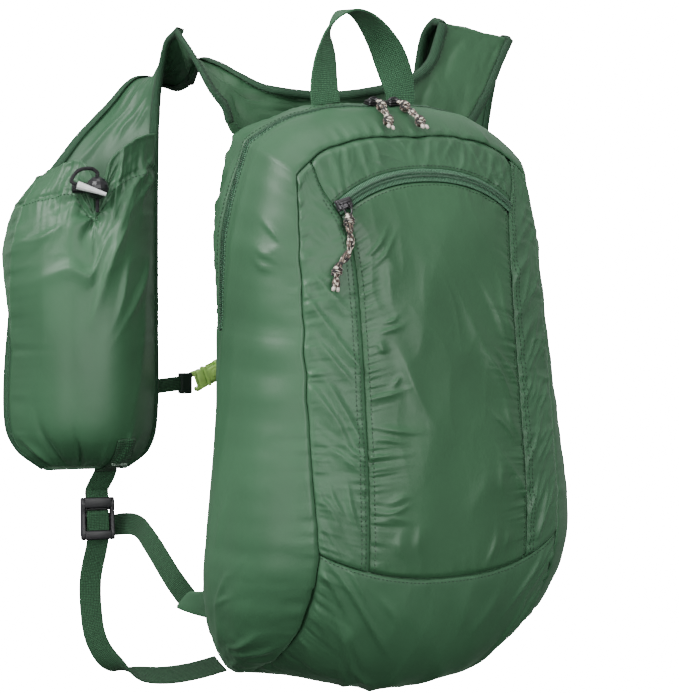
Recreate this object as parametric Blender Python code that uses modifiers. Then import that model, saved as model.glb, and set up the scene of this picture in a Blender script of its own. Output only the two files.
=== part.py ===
"""A soft packable backpack, sewn from thin nylon, at its real size in metres.

X runs across the back, Y from the bag (minus) to the wearer (plus) and Z up. The pieces are laid out from
the middle of the bag's lowest edge, and one empty then brings the back of the neck to the origin.
"""

import math

import bmesh
import bpy
from mathutils import Matrix, Vector

for old in list(bpy.data.objects):
    bpy.data.objects.remove(old, do_unlink=True)

# Bag
body_height = 0.388
body_depth = 0.115
front_width = 0.196
back_width = front_width - 0.004
side_bulge = 0.038
back_bulge = 0.006
pocket_space = 0.009
cloth_wall = 0.0014
seam_gap = 0.0003
base_seam_gap = 0.0008

# Zips
zip_width = 0.0085
zip_thickness = 0.0018
pocket_zip_width = 0.0105
slider_length = 0.011
slider_width = 0.0075
slider_height = 0.0042
pull_cord = 0.0052

# Yoke and straps
shoulder_span = 0.100
shoulder_reach = 0.085
strap_wall = 0.0024
yoke_wall = 0.0016
strap_webbing = 0.0150
webbing_wall = 0.0013
handle_webbing = 0.0230
handle_height = 0.062
handle_span = 0.062
handle_sink = 0.45
tab_bow = 0.006

# Pocket on the left strap
phone_space = 0.036
pocket_wall = 0.0014
pocket_margin = 0.03

# Hard pieces
lock_height = 0.0290
lock_bar = 0.0030
window_clearance = 0.0010
ball_radius = 0.0078
plunger_radius = 0.0037
plunger_length = 0.0200
plunger_travel = 0.0030
bore_clearance = 0.0003
draw_cord = 0.0026
end_tab_length = 0.0200
end_tab_radius = 0.0029
sternum_webbing = 0.0100
buckle_length = 0.0235
buckle_width = 0.0145
buckle_thickness = 0.0065
buckle_wall = 0.0013
keeper_length = 0.0090

bag = bpy.data.collections.new("packable_backpack")
bpy.context.scene.collection.children.link(bag)
cutters = bpy.data.collections.new("cutters")
bpy.context.scene.collection.children.link(cutters)

# The empty that carries every piece: the middle of the neckline hangs at the origin
neckline_y = 0.14 * shoulder_reach
neckline_z = 1.016 * body_height
hanger = bpy.data.objects.new("hanger", None)
hanger.location = (0, -neckline_y, -neckline_z)
bag.objects.link(hanger)


def finish(name, colour, roughness, metallic=0.0):
    made = bpy.data.materials.new(name)
    made.use_nodes = True
    shader = made.node_tree.nodes["Principled BSDF"]
    shader.inputs["Base Color"].default_value = (*colour, 1)
    shader.inputs["Roughness"].default_value = roughness
    shader.inputs["Metallic"].default_value = metallic
    return made


# Name, colour (linear), roughness, metallic
finishes = {
    "nylon": ((0.078, 0.205, 0.112), 0.42, 0.0),
    "dark_nylon": ((0.050, 0.130, 0.076), 0.45, 0.0),
    "webbing": ((0.055, 0.165, 0.085), 0.70, 0.0),
    "zip_coil": ((0.060, 0.170, 0.090), 0.55, 0.0),
    "slider_metal": ((0.060, 0.060, 0.060), 0.35, 0.8),
    "paracord": ((0.190, 0.130, 0.080), 0.80, 0.0),
    "black_cord": ((0.010, 0.010, 0.012), 0.70, 0.0),
    "black_plastic": ((0.012, 0.012, 0.013), 0.30, 0.0),
    "grey_plastic": ((0.560, 0.570, 0.560), 0.40, 0.0),
    "lime_plastic": ((0.250, 0.560, 0.060), 0.35, 0.0),
}


def dress(thing, look):
    """Gives a piece its own material, its collection and the empty that carries it."""
    thing.data.materials.clear()
    thing.data.materials.append(finish(thing.name, *finishes[look]))
    if thing.name not in bag.objects:
        bag.objects.link(thing)
    thing.parent = hanger
    return thing


# Tables of sections. Lengths are shares of the named sizes that the columns follow.
# Sides of the bag from the top corner (run 0) down the front, under the base, to the lower back edge (1):
# seam_x of half front_width, seam_y of body_depth, seam_z of body_height (the front seam),
# mid_y and mid_z the middle of the front, back_x of half back_width, back_z and back_mid_z the back panel,
# bulge of side_bulge.
side_sections = (
    ("run", "seam_x", "seam_y", "seam_z", "mid_y", "mid_z", "back_x", "back_z", "back_mid_z", "bulge"),
    (0.00, 0.94, 0.73, 0.876, 0.725, 0.940, 0.870, 0.930, 0.966, 0.36),
    (0.12, 0.97, 0.80, 0.755, 0.950, 0.800, 1.000, 0.800, 0.815, 0.46),
    (0.25, 0.99, 0.86, 0.624, 1.030, 0.645, 0.965, 0.650, 0.650, 0.52),
    (0.40, 1.00, 0.92, 0.478, 1.090, 0.480, 0.940, 0.480, 0.480, 0.68),
    (0.52, 1.00, 0.97, 0.365, 1.130, 0.345, 0.940, 0.360, 0.355, 0.88),
    (0.63, 0.985, 1.00, 0.258, 1.120, 0.205, 0.970, 0.260, 0.250, 0.96),
    (0.72, 0.97, 0.92, 0.185, 1.020, 0.095, 1.000, 0.190, 0.170, 0.98),
    (0.80, 0.96, 0.77, 0.120, 0.840, 0.026, 0.990, 0.135, 0.110, 0.84),
    (0.88, 0.94, 0.56, 0.077, 0.580, 0.000, 0.960, 0.088, 0.060, 0.60),
    (0.94, 0.90, 0.32, 0.044, 0.310, 0.004, 0.910, 0.050, 0.030, 0.34),
    (1.00, 0.86, 0.035, 0.024, 0.006, 0.010, 0.860, 0.020, 0.012, 0.05),
)
smile_run = 0.63
arch_power = 3.5
crown_power = 2.4
bulge_power = 3.0
top_bulge = 0.38
bulge_length = 2.2

# Where the pocket's side seams run, as a share of the way from the middle to the front seam
pocket_seams = (
    ("run", "across"),
    (0.00, 0.88),
    (0.05, 0.82),
    (0.11, 0.70),
    (0.20, 0.645),
    (0.42, 0.64),
    (0.63, 0.66),
)
pocket_zip_run = 0.057
pocket_zip_drop = 0.030

# Main zip in the side and top panel: along (0 left lower end, 1 right lower end) and its place across
zip_places = (
    ("along", "across"),
    (0.00, 0.20),
    (0.22, 0.24),
    (0.34, 0.34),
    (0.50, 0.60),
    (0.66, 0.34),
    (0.78, 0.24),
    (1.00, 0.20),
)
corner_along = 0.40

# Folds of the cloth: panel, place across and along, heading in degrees, length, width and depth in metres
# and the number of folds side by side, a width and a half apart
folds = (
    ("panel", "across", "along", "heading", "length", "width", "depth", "count"),
    ("front", 0.82, 0.10, 60, 0.060, 0.0075, 0.0022, 2),
    ("front", -0.80, 0.30, 72, 0.090, 0.0080, 0.0018, 2),
    ("front", -0.82, 0.50, 66, 0.060, 0.0070, 0.0024, 2),
    ("front", 0.84, 0.52, 118, 0.060, 0.0070, 0.0026, 3),
    ("front", 0.00, 0.025, 90, 0.022, 0.0080, 0.0016, 3),
    ("front", 0.20, 0.30, 80, 0.110, 0.0140, 0.0016, 1),
    ("base", -0.72, 0.72, 56, 0.060, 0.0090, 0.0030, 3),
    ("base", 0.74, 0.72, 124, 0.060, 0.0090, 0.0030, 3),
    ("base", 0.05, 0.70, 84, 0.050, 0.0120, 0.0020, 1),
    ("side", 0.62, 0.10, 20, 0.060, 0.0090, 0.0028, 3),
    ("side", 0.55, 0.90, 160, 0.060, 0.0090, 0.0028, 3),
    ("side", 0.12, 0.345, 80, 0.016, 0.0070, 0.0016, 4),
    ("side", 0.12, 0.655, 100, 0.016, 0.0070, 0.0016, 4),
    ("side", 0.70, 0.44, 70, 0.030, 0.0080, 0.0022, 2),
)

# Yoke from the left shoulder seam round the back to the right one. x is a share of shoulder_span,
# y of shoulder_reach and z of body_height, for the lower (arm) edge and the neck edge.
yoke_sections = (
    ("run", "arm_x", "arm_y", "arm_z", "neck_x", "neck_y", "neck_z"),
    (0.00, -1.010, 0.530, 1.124, -0.660, 0.960, 1.034),
    (0.08, -1.000, 0.300, 1.078, -0.740, 0.700, 1.072),
    (0.16, -0.970, 0.110, 1.021, -0.720, 0.480, 1.068),
    (0.25, -0.900, 0.055, 0.990, -0.620, 0.310, 1.046),
    (0.35, -0.780, 0.024, 0.938, -0.450, 0.210, 1.026),
    (0.50, 0.000, 0.024, 0.944, 0.000, 0.140, 1.016),
    (0.65, 0.800, 0.024, 0.934, 0.500, 0.200, 1.030),
    (0.76, 1.100, 0.050, 0.946, 0.780, 0.265, 1.050),
    (0.86, 1.380, 0.150, 1.014, 0.965, 0.330, 1.080),
    (0.93, 1.590, 0.280, 1.076, 1.070, 0.385, 1.122),
    (1.00, 1.745, 0.375, 1.118, 1.120, 0.412, 1.147),
)

# Left strap: over the shoulder, half a turn, then down the front with its outer face towards the bag
left_strap_sections = (
    ("run", "arm_x", "arm_y", "arm_z", "neck_x", "neck_y", "neck_z"),
    (0.00, -1.010, 0.536, 1.124, -0.660, 0.966, 1.034),
    (0.08, -0.990, 0.700, 1.104, -0.655, 1.180, 1.022),
    (0.16, -0.967, 0.820, 1.060, -0.730, 1.340, 1.032),
    (0.24, -0.958, 0.880, 1.020, -0.890, 1.420, 1.036),
    (0.32, -0.950, 0.915, 0.976, -1.080, 1.460, 0.990),
    (0.42, -0.948, 0.940, 0.915, -1.400, 1.465, 0.915),
    (0.55, -0.948, 0.960, 0.790, -1.760, 1.450, 0.792),
    (0.72, -0.945, 0.975, 0.600, -1.890, 1.420, 0.604),
    (0.86, -0.945, 0.990, 0.450, -1.935, 1.390, 0.452),
    (0.94, -1.000, 1.010, 0.390, -1.860, 1.365, 0.395),
    (1.00, -1.150, 1.070, 0.356, -1.680, 1.290, 0.356),
)

right_strap_sections = (
    ("run", "arm_x", "arm_y", "arm_z", "neck_x", "neck_y", "neck_z"),
    (0.00, 1.752, 0.392, 1.120, 1.122, 0.430, 1.149),
    (0.06, 1.790, 0.530, 1.122, 1.140, 0.570, 1.152),
    (0.13, 1.830, 0.680, 1.090, 1.150, 0.740, 1.122),
    (0.22, 1.810, 0.770, 1.015, 1.140, 0.830, 1.036),
    (0.40, 1.740, 0.840, 0.850, 1.110, 0.900, 0.860),
    (0.60, 1.660, 0.900, 0.660, 1.080, 0.950, 0.664),
    (0.80, 1.580, 0.950, 0.500, 1.060, 0.990, 0.500),
    (0.92, 1.520, 0.980, 0.410, 1.080, 1.010, 0.410),
    (1.00, 1.440, 1.000, 0.366, 1.140, 1.020, 0.366),
)

# Mouth of the strap pocket from its outer to its inner side: height as a share of body_height, and how far
# the cloth stands off the strap as a share of phone_space
pocket_mouth = (
    ("across", "height", "stand_off"),
    (0.00, 0.868, 0.08),
    (0.14, 0.884, 0.46),
    (0.34, 0.896, 0.72),
    (0.50, 0.846, 0.80),
    (0.62, 0.896, 0.74),
    (0.76, 0.925, 0.60),
    (0.90, 0.940, 0.34),
    (1.00, 0.944, 0.08),
)
# Fullness of the strap pocket from the bottom to the mouth
pocket_fullness = (
    ("rise", "stand_off"),
    (0.00, 0.10),
    (0.06, 0.55),
    (0.16, 0.88),
    (0.34, 1.00),
    (0.60, 0.98),
    (0.82, 0.86),
    (0.93, 0.72),
    (1.00, 0.84),
)
pocket_from_run, pocket_mouth_run = 0.985, 0.47
pocket_crown_power = 2.6
pocket_mouth_from = 0.75
# The cord lock in the dip of the mouth: its middle off the cloth and above the hem, in ball radii
ball_stand, ball_lift = 0.85, 0.25

# Sliders and pulls
slider_spread = 0.018
# Where the main pulls end at the top front seam, as a share of half the front
pull_ends = {"left": -0.228, "right": 0.065}
# Route of the pocket zip's pull, in metres: aside, down the front, off the cloth
pocket_pull_route = (
    (0.0015, 0.009, 0.0006),
    (0.0005, 0.020, 0.0012),
    (0.0005, 0.032, 0.0008),
    (-0.0025, 0.041, 0.0010),
    (-0.0085, 0.048, 0.0016),
    (-0.0100, 0.056, 0.0010),
    (-0.0105, 0.064, 0.0006),
)

# Where the handle's feet stand, as a share of the top panel from its back edge
handle_across = 0.33
# Handle from its left foot to its right one: share of the way, height as a share of handle_height,
# sway as a share of handle_span and the turn of the webbing's width in degrees
handle_route = (
    (0.00, 0.00, 0.000, 0),
    (-0.02, 0.20, 0.000, 4),
    (0.00, 0.50, 0.000, 20),
    (0.10, 0.80, -0.040, 52),
    (0.32, 1.00, -0.050, 84),
    (0.54, 0.95, -0.040, 98),
    (0.76, 0.68, 0.000, 124),
    (0.93, 0.36, 0.000, 156),
    (1.00, 0.14, 0.000, 176),
    (1.00, 0.00, 0.000, 180),
)

# Ladder locks: how far below the strap they hang, their place along its lower edge as a share, how far the
# left one hangs aside of it, and the windows as shares of lock_height from the middle
lock_drop = 0.034
lock_places = {"left": 0.245, "right": 0.50}
left_lock_aside = 0.0065
upper_window = (0.12, 0.40)
lower_window = (-0.40, 0.02)

# Triangular side tabs: root on the back panel as a share across and the runs of its two ends, and the reach
# of the tip from the middle of the root
tab_root_x = 0.80
tab_root_runs = (0.745, 0.845)
tab_reach_x, tab_reach_y, tab_reach_z = 0.033, 0.026, 0.004

# Webbing between the side tab and the lock, and its free end: place as shares of shoulder_span,
# shoulder_reach and body_height, and the direction of its width
approach_route = (
    (1.105, 0.450, 0.176, 0.30, 0.50, -0.80),
    (1.135, 0.720, 0.232, 0.25, 0.45, -0.85),
    (1.120, 0.980, 0.256, 0.15, 0.30, -0.94),
    (1.190, 1.230, 0.250, 0.40, 0.00, -0.85),
)
tail_routes = {
    "left": (
        (-1.385, 1.170, 0.160, -0.92, 0.40, 0.0),
        (-1.385, 1.150, 0.090, -0.92, 0.40, 0.0),
        (-1.360, 1.120, 0.050, -0.90, 0.42, 0.1),
        (-1.280, 1.090, 0.016, -0.86, 0.46, 0.2),
        (-1.130, 1.060, -0.008, -0.80, 0.50, 0.4),
        (-0.900, 1.040, -0.020, -0.60, 0.60, 0.6),
        (-0.620, 1.080, -0.022, -0.40, 0.70, 0.6),
        (-0.340, 1.150, -0.017, -0.30, 0.76, 0.6),
    ),
    "right": (
        (1.300, 1.000, 0.160, 1.00, 0.05, 0.0),
        (1.310, 1.000, 0.090, 1.00, 0.05, 0.0),
        (1.290, 1.020, 0.040, 0.98, 0.10, 0.0),
        (1.200, 1.050, 0.004, 0.90, 0.30, 0.2),
        (1.020, 1.060, -0.014, 0.80, 0.45, 0.3),
        (0.820, 1.080, -0.018, 0.70, 0.55, 0.3),
    ),
}

# Sternum strap: where it is sewn to the straps, where its keeper and buckle sit and how it sags
sternum_left_run, sternum_right_run = 0.815, 0.610
keeper_share, buckle_share = 0.140, 0.228
left_end_gap = 0.0014
plug_share = 0.34
prong_share = 0.62
sternum_sag = (
    ("share", "lift"),
    (0.00, 0.000),
    (0.08, -0.008),
    (0.16, -0.018),
    (0.24, -0.017),
    (0.32, -0.008),
    (0.55, -0.002),
    (1.00, 0.000),
)


def follow(table, name, at):
    """Reads one column of a table at any place, on a smooth curve through its rows."""
    head, rows = table[0], table[1:]
    k = head.index(name)
    places = [row[0] for row in rows]
    values = [row[k] for row in rows]
    at = min(max(at, places[0]), places[-1])
    i = 0
    while i < len(rows) - 2 and at > places[i + 1]:
        i += 1
    span = places[i + 1] - places[i]
    share = (at - places[i]) / span

    def slope(j):
        low, high = max(j - 1, 0), min(j + 1, len(rows) - 1)
        return (values[high] - values[low]) / (places[high] - places[low])

    a, b = slope(i) * span, slope(i + 1) * span
    cube, square = share**3, share**2
    return (
        values[i] * (2 * cube - 3 * square + 1)
        + a * (cube - 2 * square + share)
        + values[i + 1] * (3 * square - 2 * cube)
        + b * (cube - square)
    )


def between(a, b, share):
    return a + (b - a) * share


def fold_depth(panel, across, along, breadth, reach):
    """Depth of the folds at a place on a panel that is breadth wide for one unit across, reach for along."""
    total = 0.0
    for kind, at_x, at_y, heading, length, width, depth, count in folds[1:]:
        if kind != panel:
            continue
        turn = math.radians(heading)
        dx, dy = (across - at_x) * breadth, (along - at_y) * reach
        down = dx * math.cos(turn) + dy * math.sin(turn)
        aside = -dx * math.sin(turn) + dy * math.cos(turn)
        fade = math.exp(-((2 * down / length) ** 4))
        for n in range(count):
            off = aside - (n - (count - 1) / 2) * 1.5 * width
            total += depth * fade * math.exp(-((2 * off / width) ** 2))
    return total


def side_reading(run):
    """The sections of one side at a run, in metres."""
    read = {name: follow(side_sections, name, run) for name in side_sections[0][1:]}
    half_front, half_back = front_width / 2, back_width / 2
    seam = (read["seam_x"] * half_front, -read["seam_y"] * body_depth, read["seam_z"] * body_height)
    return {
        "seam": Vector(seam),
        "mid": Vector((0, -read["mid_y"] * body_depth, read["mid_z"] * body_height)),
        "back": Vector((read["back_x"] * half_back, 0, read["back_z"] * body_height)),
        "back_mid": Vector((0, 0, read["back_mid_z"] * body_height)),
        "bulge": read["bulge"] * side_bulge,
    }


def front_point(across, run):
    """The front and base of the bag: across -1 to 1 between its seams, run from the top seam to the back."""
    read = side_reading(run)
    seam, mid = read["seam"], read["mid"]
    crown = abs(across) ** crown_power
    arch = abs(across) ** arch_power
    lift = between(arch, crown, min(run / 0.2, 1))
    return Vector((seam.x * across, between(mid.y, seam.y, crown), between(mid.z, seam.z, lift)))


def back_point(across, run):
    """The back panel: across -1 to 1, run from its top to its lower edge."""
    read = side_reading(run)
    lift = abs(across) ** crown_power
    flat_until = 0.14
    free = min(max((run - flat_until) / (1 - flat_until), 0), 1)
    hollow = back_bulge * (1 - across**2) * math.sin(math.pi * free) ** 2
    return Vector((read["back"].x * across, hollow, between(read["back_mid"].z, read["back"].z, lift)))


def side_edges(along):
    """The back edge and the front edge of the side and top panel, and how far it bulges between them."""
    if along < corner_along:
        across, run = -1, 1 - along / corner_along
    elif along > 1 - corner_along:
        across, run = 1, 1 - (1 - along) / corner_along
    else:
        across, run = (along - 0.5) / (0.5 - corner_along), 0
    bulge = side_reading(run)["bulge"]
    if run == 0:
        bulge = between(top_bulge * side_bulge, bulge, across**4)
    return back_point(across, run), front_point(across, run), bulge


def side_point(along, across):
    """The side and top panel: along from the lower left corner over the top, across from back to front."""
    back, front, bulge = side_edges(along)
    step = 0.035
    before, after = side_edges(max(along - step, 0)), side_edges(min(along + step, 1))
    tangent = (after[0] + after[1]) - (before[0] + before[1])
    outward = Vector((-tangent.z, 0, tangent.x)).normalized()
    return between(back, front, across) + outward * bulge * (1 - abs(2 * across - 1) ** bulge_power)


def pushed(place, depth_at, a, b):
    """A point of a sheet, moved along the sheet's own normal by its folds."""
    near = 0.004
    here = place(a, b)
    normal = (place(a + near, b) - place(a - near, b)).cross(place(a, b + near) - place(a, b - near))
    return here + normal.normalized() * depth_at(a, b)


def make_sheet(name, look, columns, rows, place, wall, keep=None, centred=False):
    """A wall of cloth: a grid whose squares place(u, v) bends, thickened outwards or on both sides."""
    shape = bmesh.new()
    bmesh.ops.create_grid(shape, x_segments=columns, y_segments=rows, size=0.5)
    if keep:
        spare = [face for face in shape.faces if not keep(*(face.calc_center_median().xy + Vector((0.5, 0.5))))]
        bmesh.ops.delete(shape, geom=spare, context="FACES")
    for vertex in shape.verts:
        vertex.co = place(vertex.co.x + 0.5, vertex.co.y + 0.5)
    mesh = bpy.data.meshes.new(name)
    shape.to_mesh(mesh)
    shape.free()
    mesh.shade_smooth()
    thing = bpy.data.objects.new(name, mesh)
    dress(thing, look)
    thickened = thing.modifiers.new("wall", "SOLIDIFY")
    thickened.thickness = wall
    thickened.offset = 0.0 if centred else 1.0
    return thing


def front_depth(across, run):
    edge = max(0, 1 - abs(across) ** 10) * min(run / 0.02, 1)
    near_seam = min(abs(run - smile_run) / 0.015, 1)
    if run < smile_run:
        return edge * near_seam * fold_depth("front", across, run, front_width / 2, body_height * 1.1)
    near_back = min((1 - run) / 0.04, 1)
    return edge * near_seam * near_back * fold_depth("base", across, run, front_width / 2, body_height)


def front_surface(across, run, deeper=0.0):
    return pushed(front_point, lambda a, b: deeper - front_depth(a, b), across, run)


def seam_share(length):
    """Half a seam gap, as a share of a panel that is this long."""
    return seam_gap / 2 / length


def side_room(run, length):
    """The same at a side seam: wider round the base, where both panels bulge away from their seam."""
    return seam_share(length) + base_seam_gap / length * min(max((run - 0.68) / 0.10, 0), 1)


run_length = body_height * 1.45
along_length = 2.6 * body_height
across_gap = seam_share(front_width / 2)
run_gap = seam_share(run_length)
zip_half_run = pocket_zip_width / 2 / run_length
side_end_gap = 0.0060 / along_length

# Rows and columns of the panels. Panels that share a seam share its corners.
upper_rows, pocket_rows, base_rows = 2, 9, 8
front_rows = upper_rows + 1 + pocket_rows
seam_rows = front_rows + base_rows
strip_columns, pocket_columns = 2, 10
front_columns = pocket_columns + 2 * strip_columns


def pocket_edge(run):
    return follow(pocket_seams, "across", run)


def zip_run(across):
    return pocket_zip_run + pocket_zip_drop * across**2


def run_at(row, across=1.0):
    """The run of a row: the upper piece, the pocket zip, the pocket and then the base."""
    high, low = zip_run(across) - zip_half_run - run_gap, zip_run(across) + zip_half_run + run_gap
    if row <= upper_rows:
        return high * row / upper_rows
    if row <= upper_rows + 1:
        return between(high, low, row - upper_rows)
    if row <= front_rows:
        return between(low, smile_run, (row - upper_rows - 1) / pocket_rows)
    return between(smile_run, 1, (row - front_rows) / base_rows)


def across_of(column, run):
    """The place across of a column: a side strip, the pocket's width and the other strip."""
    edge = pocket_edge(run)
    if column <= strip_columns:
        return between(-1, -edge, column / strip_columns)
    if column >= strip_columns + pocket_columns:
        return between(edge, 1, (column - strip_columns - pocket_columns) / strip_columns)
    return edge * (2 * (column - strip_columns) / pocket_columns - 1)


def flipped(place):
    """The same sheet run the other way, so that its wall grows to the other side."""
    return lambda u, v: place(1 - u, v)


def inset(value, low, high, gap):
    return min(max(value, low + gap), high - gap)


def make_front():
    """Two side strips, the upper piece, the pocket with its zip and its back wall, and the base."""

    def strip(side):
        def place(u, v):
            run = run_at(v * front_rows)
            edge = pocket_edge(run)
            across = inset(between(edge, 1, u if side > 0 else 1 - u), edge, 1, across_gap)
            return front_surface(side * across, inset(run, 0, smile_run, run_gap))

        return place

    for side, word in ((-1, "left"), (1, "right")):
        make_sheet(f"front_strip_{word}", "nylon", strip_columns, front_rows, flipped(strip(side)), cloth_wall)

    def panel(first, last, sink=None):
        """The stretch of the front between two rows and between the pocket's side seams."""

        def place(u, v):
            across = 2 * u - 1
            row = between(first, last, v)
            run = run_at(row, across)
            low, high = run_at(first, across), run_at(last, across)
            run = inset(run, low, high, run_gap)
            return front_surface(across * (pocket_edge(run) - across_gap), run, sink(across, v) if sink else 0)

        return flipped(place)

    def sunk(across, v):
        deep = (1 - abs(across) ** 4) * math.sin(math.pi * v) ** 0.5
        return cloth_wall + 2 * seam_gap + pocket_space * max(deep, 0)

    zip_row = upper_rows + 1
    outer, inner = panel(zip_row, front_rows), panel(zip_row, front_rows, sunk)
    make_sheet("front_upper", "nylon", pocket_columns, upper_rows, panel(0, upper_rows), cloth_wall)
    make_sheet("pocket_zip", "zip_coil", pocket_columns, 1, panel(upper_rows, zip_row), zip_thickness)
    make_sheet("front_pocket", "dark_nylon", pocket_columns, pocket_rows, outer, cloth_wall)
    make_sheet("pocket_back_wall", "nylon", pocket_columns, pocket_rows, inner, cloth_wall)

    def base(u, v):
        run = run_at(between(front_rows, seam_rows, v))
        across = across_of(u * front_columns, smile_run)
        run = inset(run, smile_run, 1, run_gap)
        return front_surface(inset(across, -1, 1, side_room(run, front_width / 2)), run)

    make_sheet("bottom_panel", "nylon", front_columns, base_rows, flipped(base), cloth_wall)


def side_depth(along, across):
    edge = math.sin(math.pi * min(max(across, 0), 1)) ** 0.5 * min(along / 0.02, (1 - along) / 0.02, 1)
    return edge * fold_depth("side", across, along, body_depth, along_length)


def side_surface(along, across):
    return pushed(side_point, side_depth, along, across)


def panel_depth(along):
    back, front, bulge = side_edges(along)
    return (front - back).length + bulge_length * bulge


def zip_share(along):
    """Place of the main zip across the side panel, and half its width, as shares."""
    return follow(zip_places, "across", along), zip_width / 2 / panel_depth(along)


# Side and top panel in one piece, open along a slot that the main zip fills
side_columns = 2 * seam_rows + front_columns
slot_row, side_rows = 2, 8
slot_first = slot_last_from_end = 14


def along_at(column):
    """The place along of a column: up the left side by the seam's rows, over the top, down the right."""
    if column <= seam_rows:
        return corner_along * (1 - run_at(seam_rows - column))
    if column >= seam_rows + front_columns:
        return 1 - corner_along * (1 - run_at(column - seam_rows - front_columns))
    return 0.5 + across_of(column - seam_rows, 0) * (0.5 - corner_along)


def across_at(along, level):
    """Spreads the panel's rows so that two of them run along the sides of the zip slot."""
    beside = seam_gap / panel_depth(along)
    gap = side_room(1 - min(along, 1 - along) / corner_along, panel_depth(along))
    middle, half = zip_share(along)
    low, high = middle - half - beside, middle + half + beside
    if level <= slot_row:
        return between(gap, low, level / slot_row)
    if level <= slot_row + 1:
        return between(low, high, level - slot_row)
    return between(high, 1 - gap, (level - slot_row - 1) / (side_rows - slot_row - 1))


def make_side():
    def place(u, v):
        along = inset(along_at(u * side_columns), 0, 1, side_end_gap)
        return side_surface(along, across_at(along, v * side_rows))

    def is_cloth(u, v):
        in_slot = slot_first < (1 - u) * side_columns < side_columns - slot_last_from_end
        return not (in_slot and slot_row < v * side_rows < slot_row + 1)

    make_sheet("gusset", "nylon", side_columns, side_rows, flipped(place), cloth_wall, keep=is_cloth)
    end_gap = seam_gap / along_length
    first, last = along_at(slot_first) + end_gap, along_at(side_columns - slot_last_from_end) - end_gap
    zip_columns = side_columns - slot_first - slot_last_from_end

    def band(u, v):
        along = min(max(along_at(slot_first + u * zip_columns), first), last)
        middle, half = zip_share(along)
        return side_surface(along, between(middle - half, middle + half, v))

    make_sheet("main_zip", "zip_coil", zip_columns, 1, flipped(band), zip_thickness)


def make_back():
    def place(u, v):
        across = across_of(u * front_columns, 0)
        run = inset(run_at(v * seam_rows), 0, 1, run_gap)
        return back_point(inset(across, -1, 1, side_room(run, back_width / 2)), run)

    make_sheet("back_panel", "dark_nylon", front_columns, seam_rows, place, cloth_wall)


def strap_edges(table, run):
    span, reach, tall = shoulder_span, shoulder_reach, body_height
    return [
        Vector(
            (
                follow(table, f"{edge}_x", run) * span,
                follow(table, f"{edge}_y", run) * reach,
                follow(table, f"{edge}_z", run) * tall,
            )
        )
        for edge in ("arm", "neck")
    ]


def strap_place(table):
    """A strap between its arm edge (0) and its neck edge (1)."""

    def place(u, v):
        arm, neck = strap_edges(table, v)
        return between(arm, neck, u)

    return place


def make_yoke_and_straps():
    make_sheet("shoulder_yoke", "nylon", 4, 26, strap_place(yoke_sections), yoke_wall)
    make_sheet("strap_left", "nylon", 4, 30, strap_place(left_strap_sections), strap_wall)
    make_sheet("strap_right", "nylon", 3, 22, strap_place(right_strap_sections), strap_wall)


def strap_outward(table, run):
    """The level direction away from a strap's outer face, and the one along its width to the neck edge."""
    arm, neck = strap_edges(table, run)
    aside = Vector((neck.x - arm.x, neck.y - arm.y, 0)).normalized()
    return aside, aside.cross(Vector((0, 0, -1)))


def strap_pocket_point(u, v):
    """The pocket's cloth: u from the outer (neck) side to the inner (arm) side, v from the bottom up."""
    mouth_height = follow(pocket_mouth, "height", u) * body_height
    run = between(pocket_from_run, pocket_mouth_run, v)
    arm, neck = strap_edges(left_strap_sections, run)
    out = strap_outward(left_strap_sections, run)[1]
    here = between(neck, arm, between(pocket_margin, 1 - pocket_margin, u))
    low = strap_edges(left_strap_sections, pocket_from_run)[0].z
    high = strap_edges(left_strap_sections, pocket_mouth_run)[0].z
    here.z = between(low, mouth_height, (here.z - low) / (high - low))
    full = follow(pocket_fullness, "stand_off", v)
    mouth = follow(pocket_mouth, "stand_off", u)
    round_off = (1 - abs(2 * u - 1) ** pocket_crown_power) * full
    stand = between(round_off, mouth, max(0, (v - pocket_mouth_from) / (1 - pocket_mouth_from)) ** 2)
    return here + out * (strap_wall + 5 * seam_gap + phone_space * max(stand, 0))


def make_strap_pocket():
    make_sheet("strap_pocket", "nylon", 16, 13, flipped(strap_pocket_point), pocket_wall)


def smooth_line(points, steps):
    """A smooth curve through the given points, with this many steps between two of them.

    A point is a tuple of vectors, such as a place and a direction, that change together.
    """
    spans = [(b[0] - a[0]).length for a, b in zip(points, points[1:])]
    line = []
    for i, span in enumerate(spans):
        before, after = points[max(i - 1, 0)], points[min(i + 2, len(points) - 1)]
        before_span = spans[i - 1] if i else 0
        after_span = spans[i + 1] if i + 1 < len(spans) else 0
        for n in range(steps + (i == len(spans) - 1)):
            share = n / steps
            cube, square = share**3, share**2
            made = []
            for from_, a, b, to in zip(before, points[i], points[i + 1], after):
                leave = (b - from_) * (span / (span + before_span))
                arrive = (to - a) * (span / (span + after_span))
                made.append(
                    a * (2 * cube - 3 * square + 1)
                    + leave * (cube - 2 * square + share)
                    + b * (3 * square - 2 * cube)
                    + arrive * (cube - square)
                )
            line.append(made)
    return line


def make_ribbon(name, look, points, width, wall, steps):
    """A flat webbing along points that each hold a place and the direction of the webbing's width."""
    line = smooth_line(points, steps)
    last = len(line) - 1

    def place(u, v):
        at = round(v * last)
        middle, aside = line[at]
        before, after = line[max(at - 1, 0)][0], line[min(at + 1, last)][0]
        forward = (after - before).normalized()
        square = (aside - forward * aside.dot(forward)).normalized()
        return middle + square * width * (u - 0.5)

    make_sheet(name, look, 1, last, place, wall, centred=True)


def make_tube(name, look, points, diameter, steps):
    """A cord along a smooth curve through the given points."""
    line = smooth_line([(point,) for point in points], steps)
    curve = bpy.data.curves.new(name, "CURVE")
    curve.dimensions = "3D"
    curve.bevel_depth = diameter / 2
    curve.bevel_resolution = 2
    curve.use_fill_caps = True
    spline = curve.splines.new("POLY")
    spline.points.add(len(line) - 1)
    for knot, (place,) in zip(spline.points, line):
        knot.co = (*place, 1)
    return dress(bpy.data.objects.new(name, curve), look)


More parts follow.
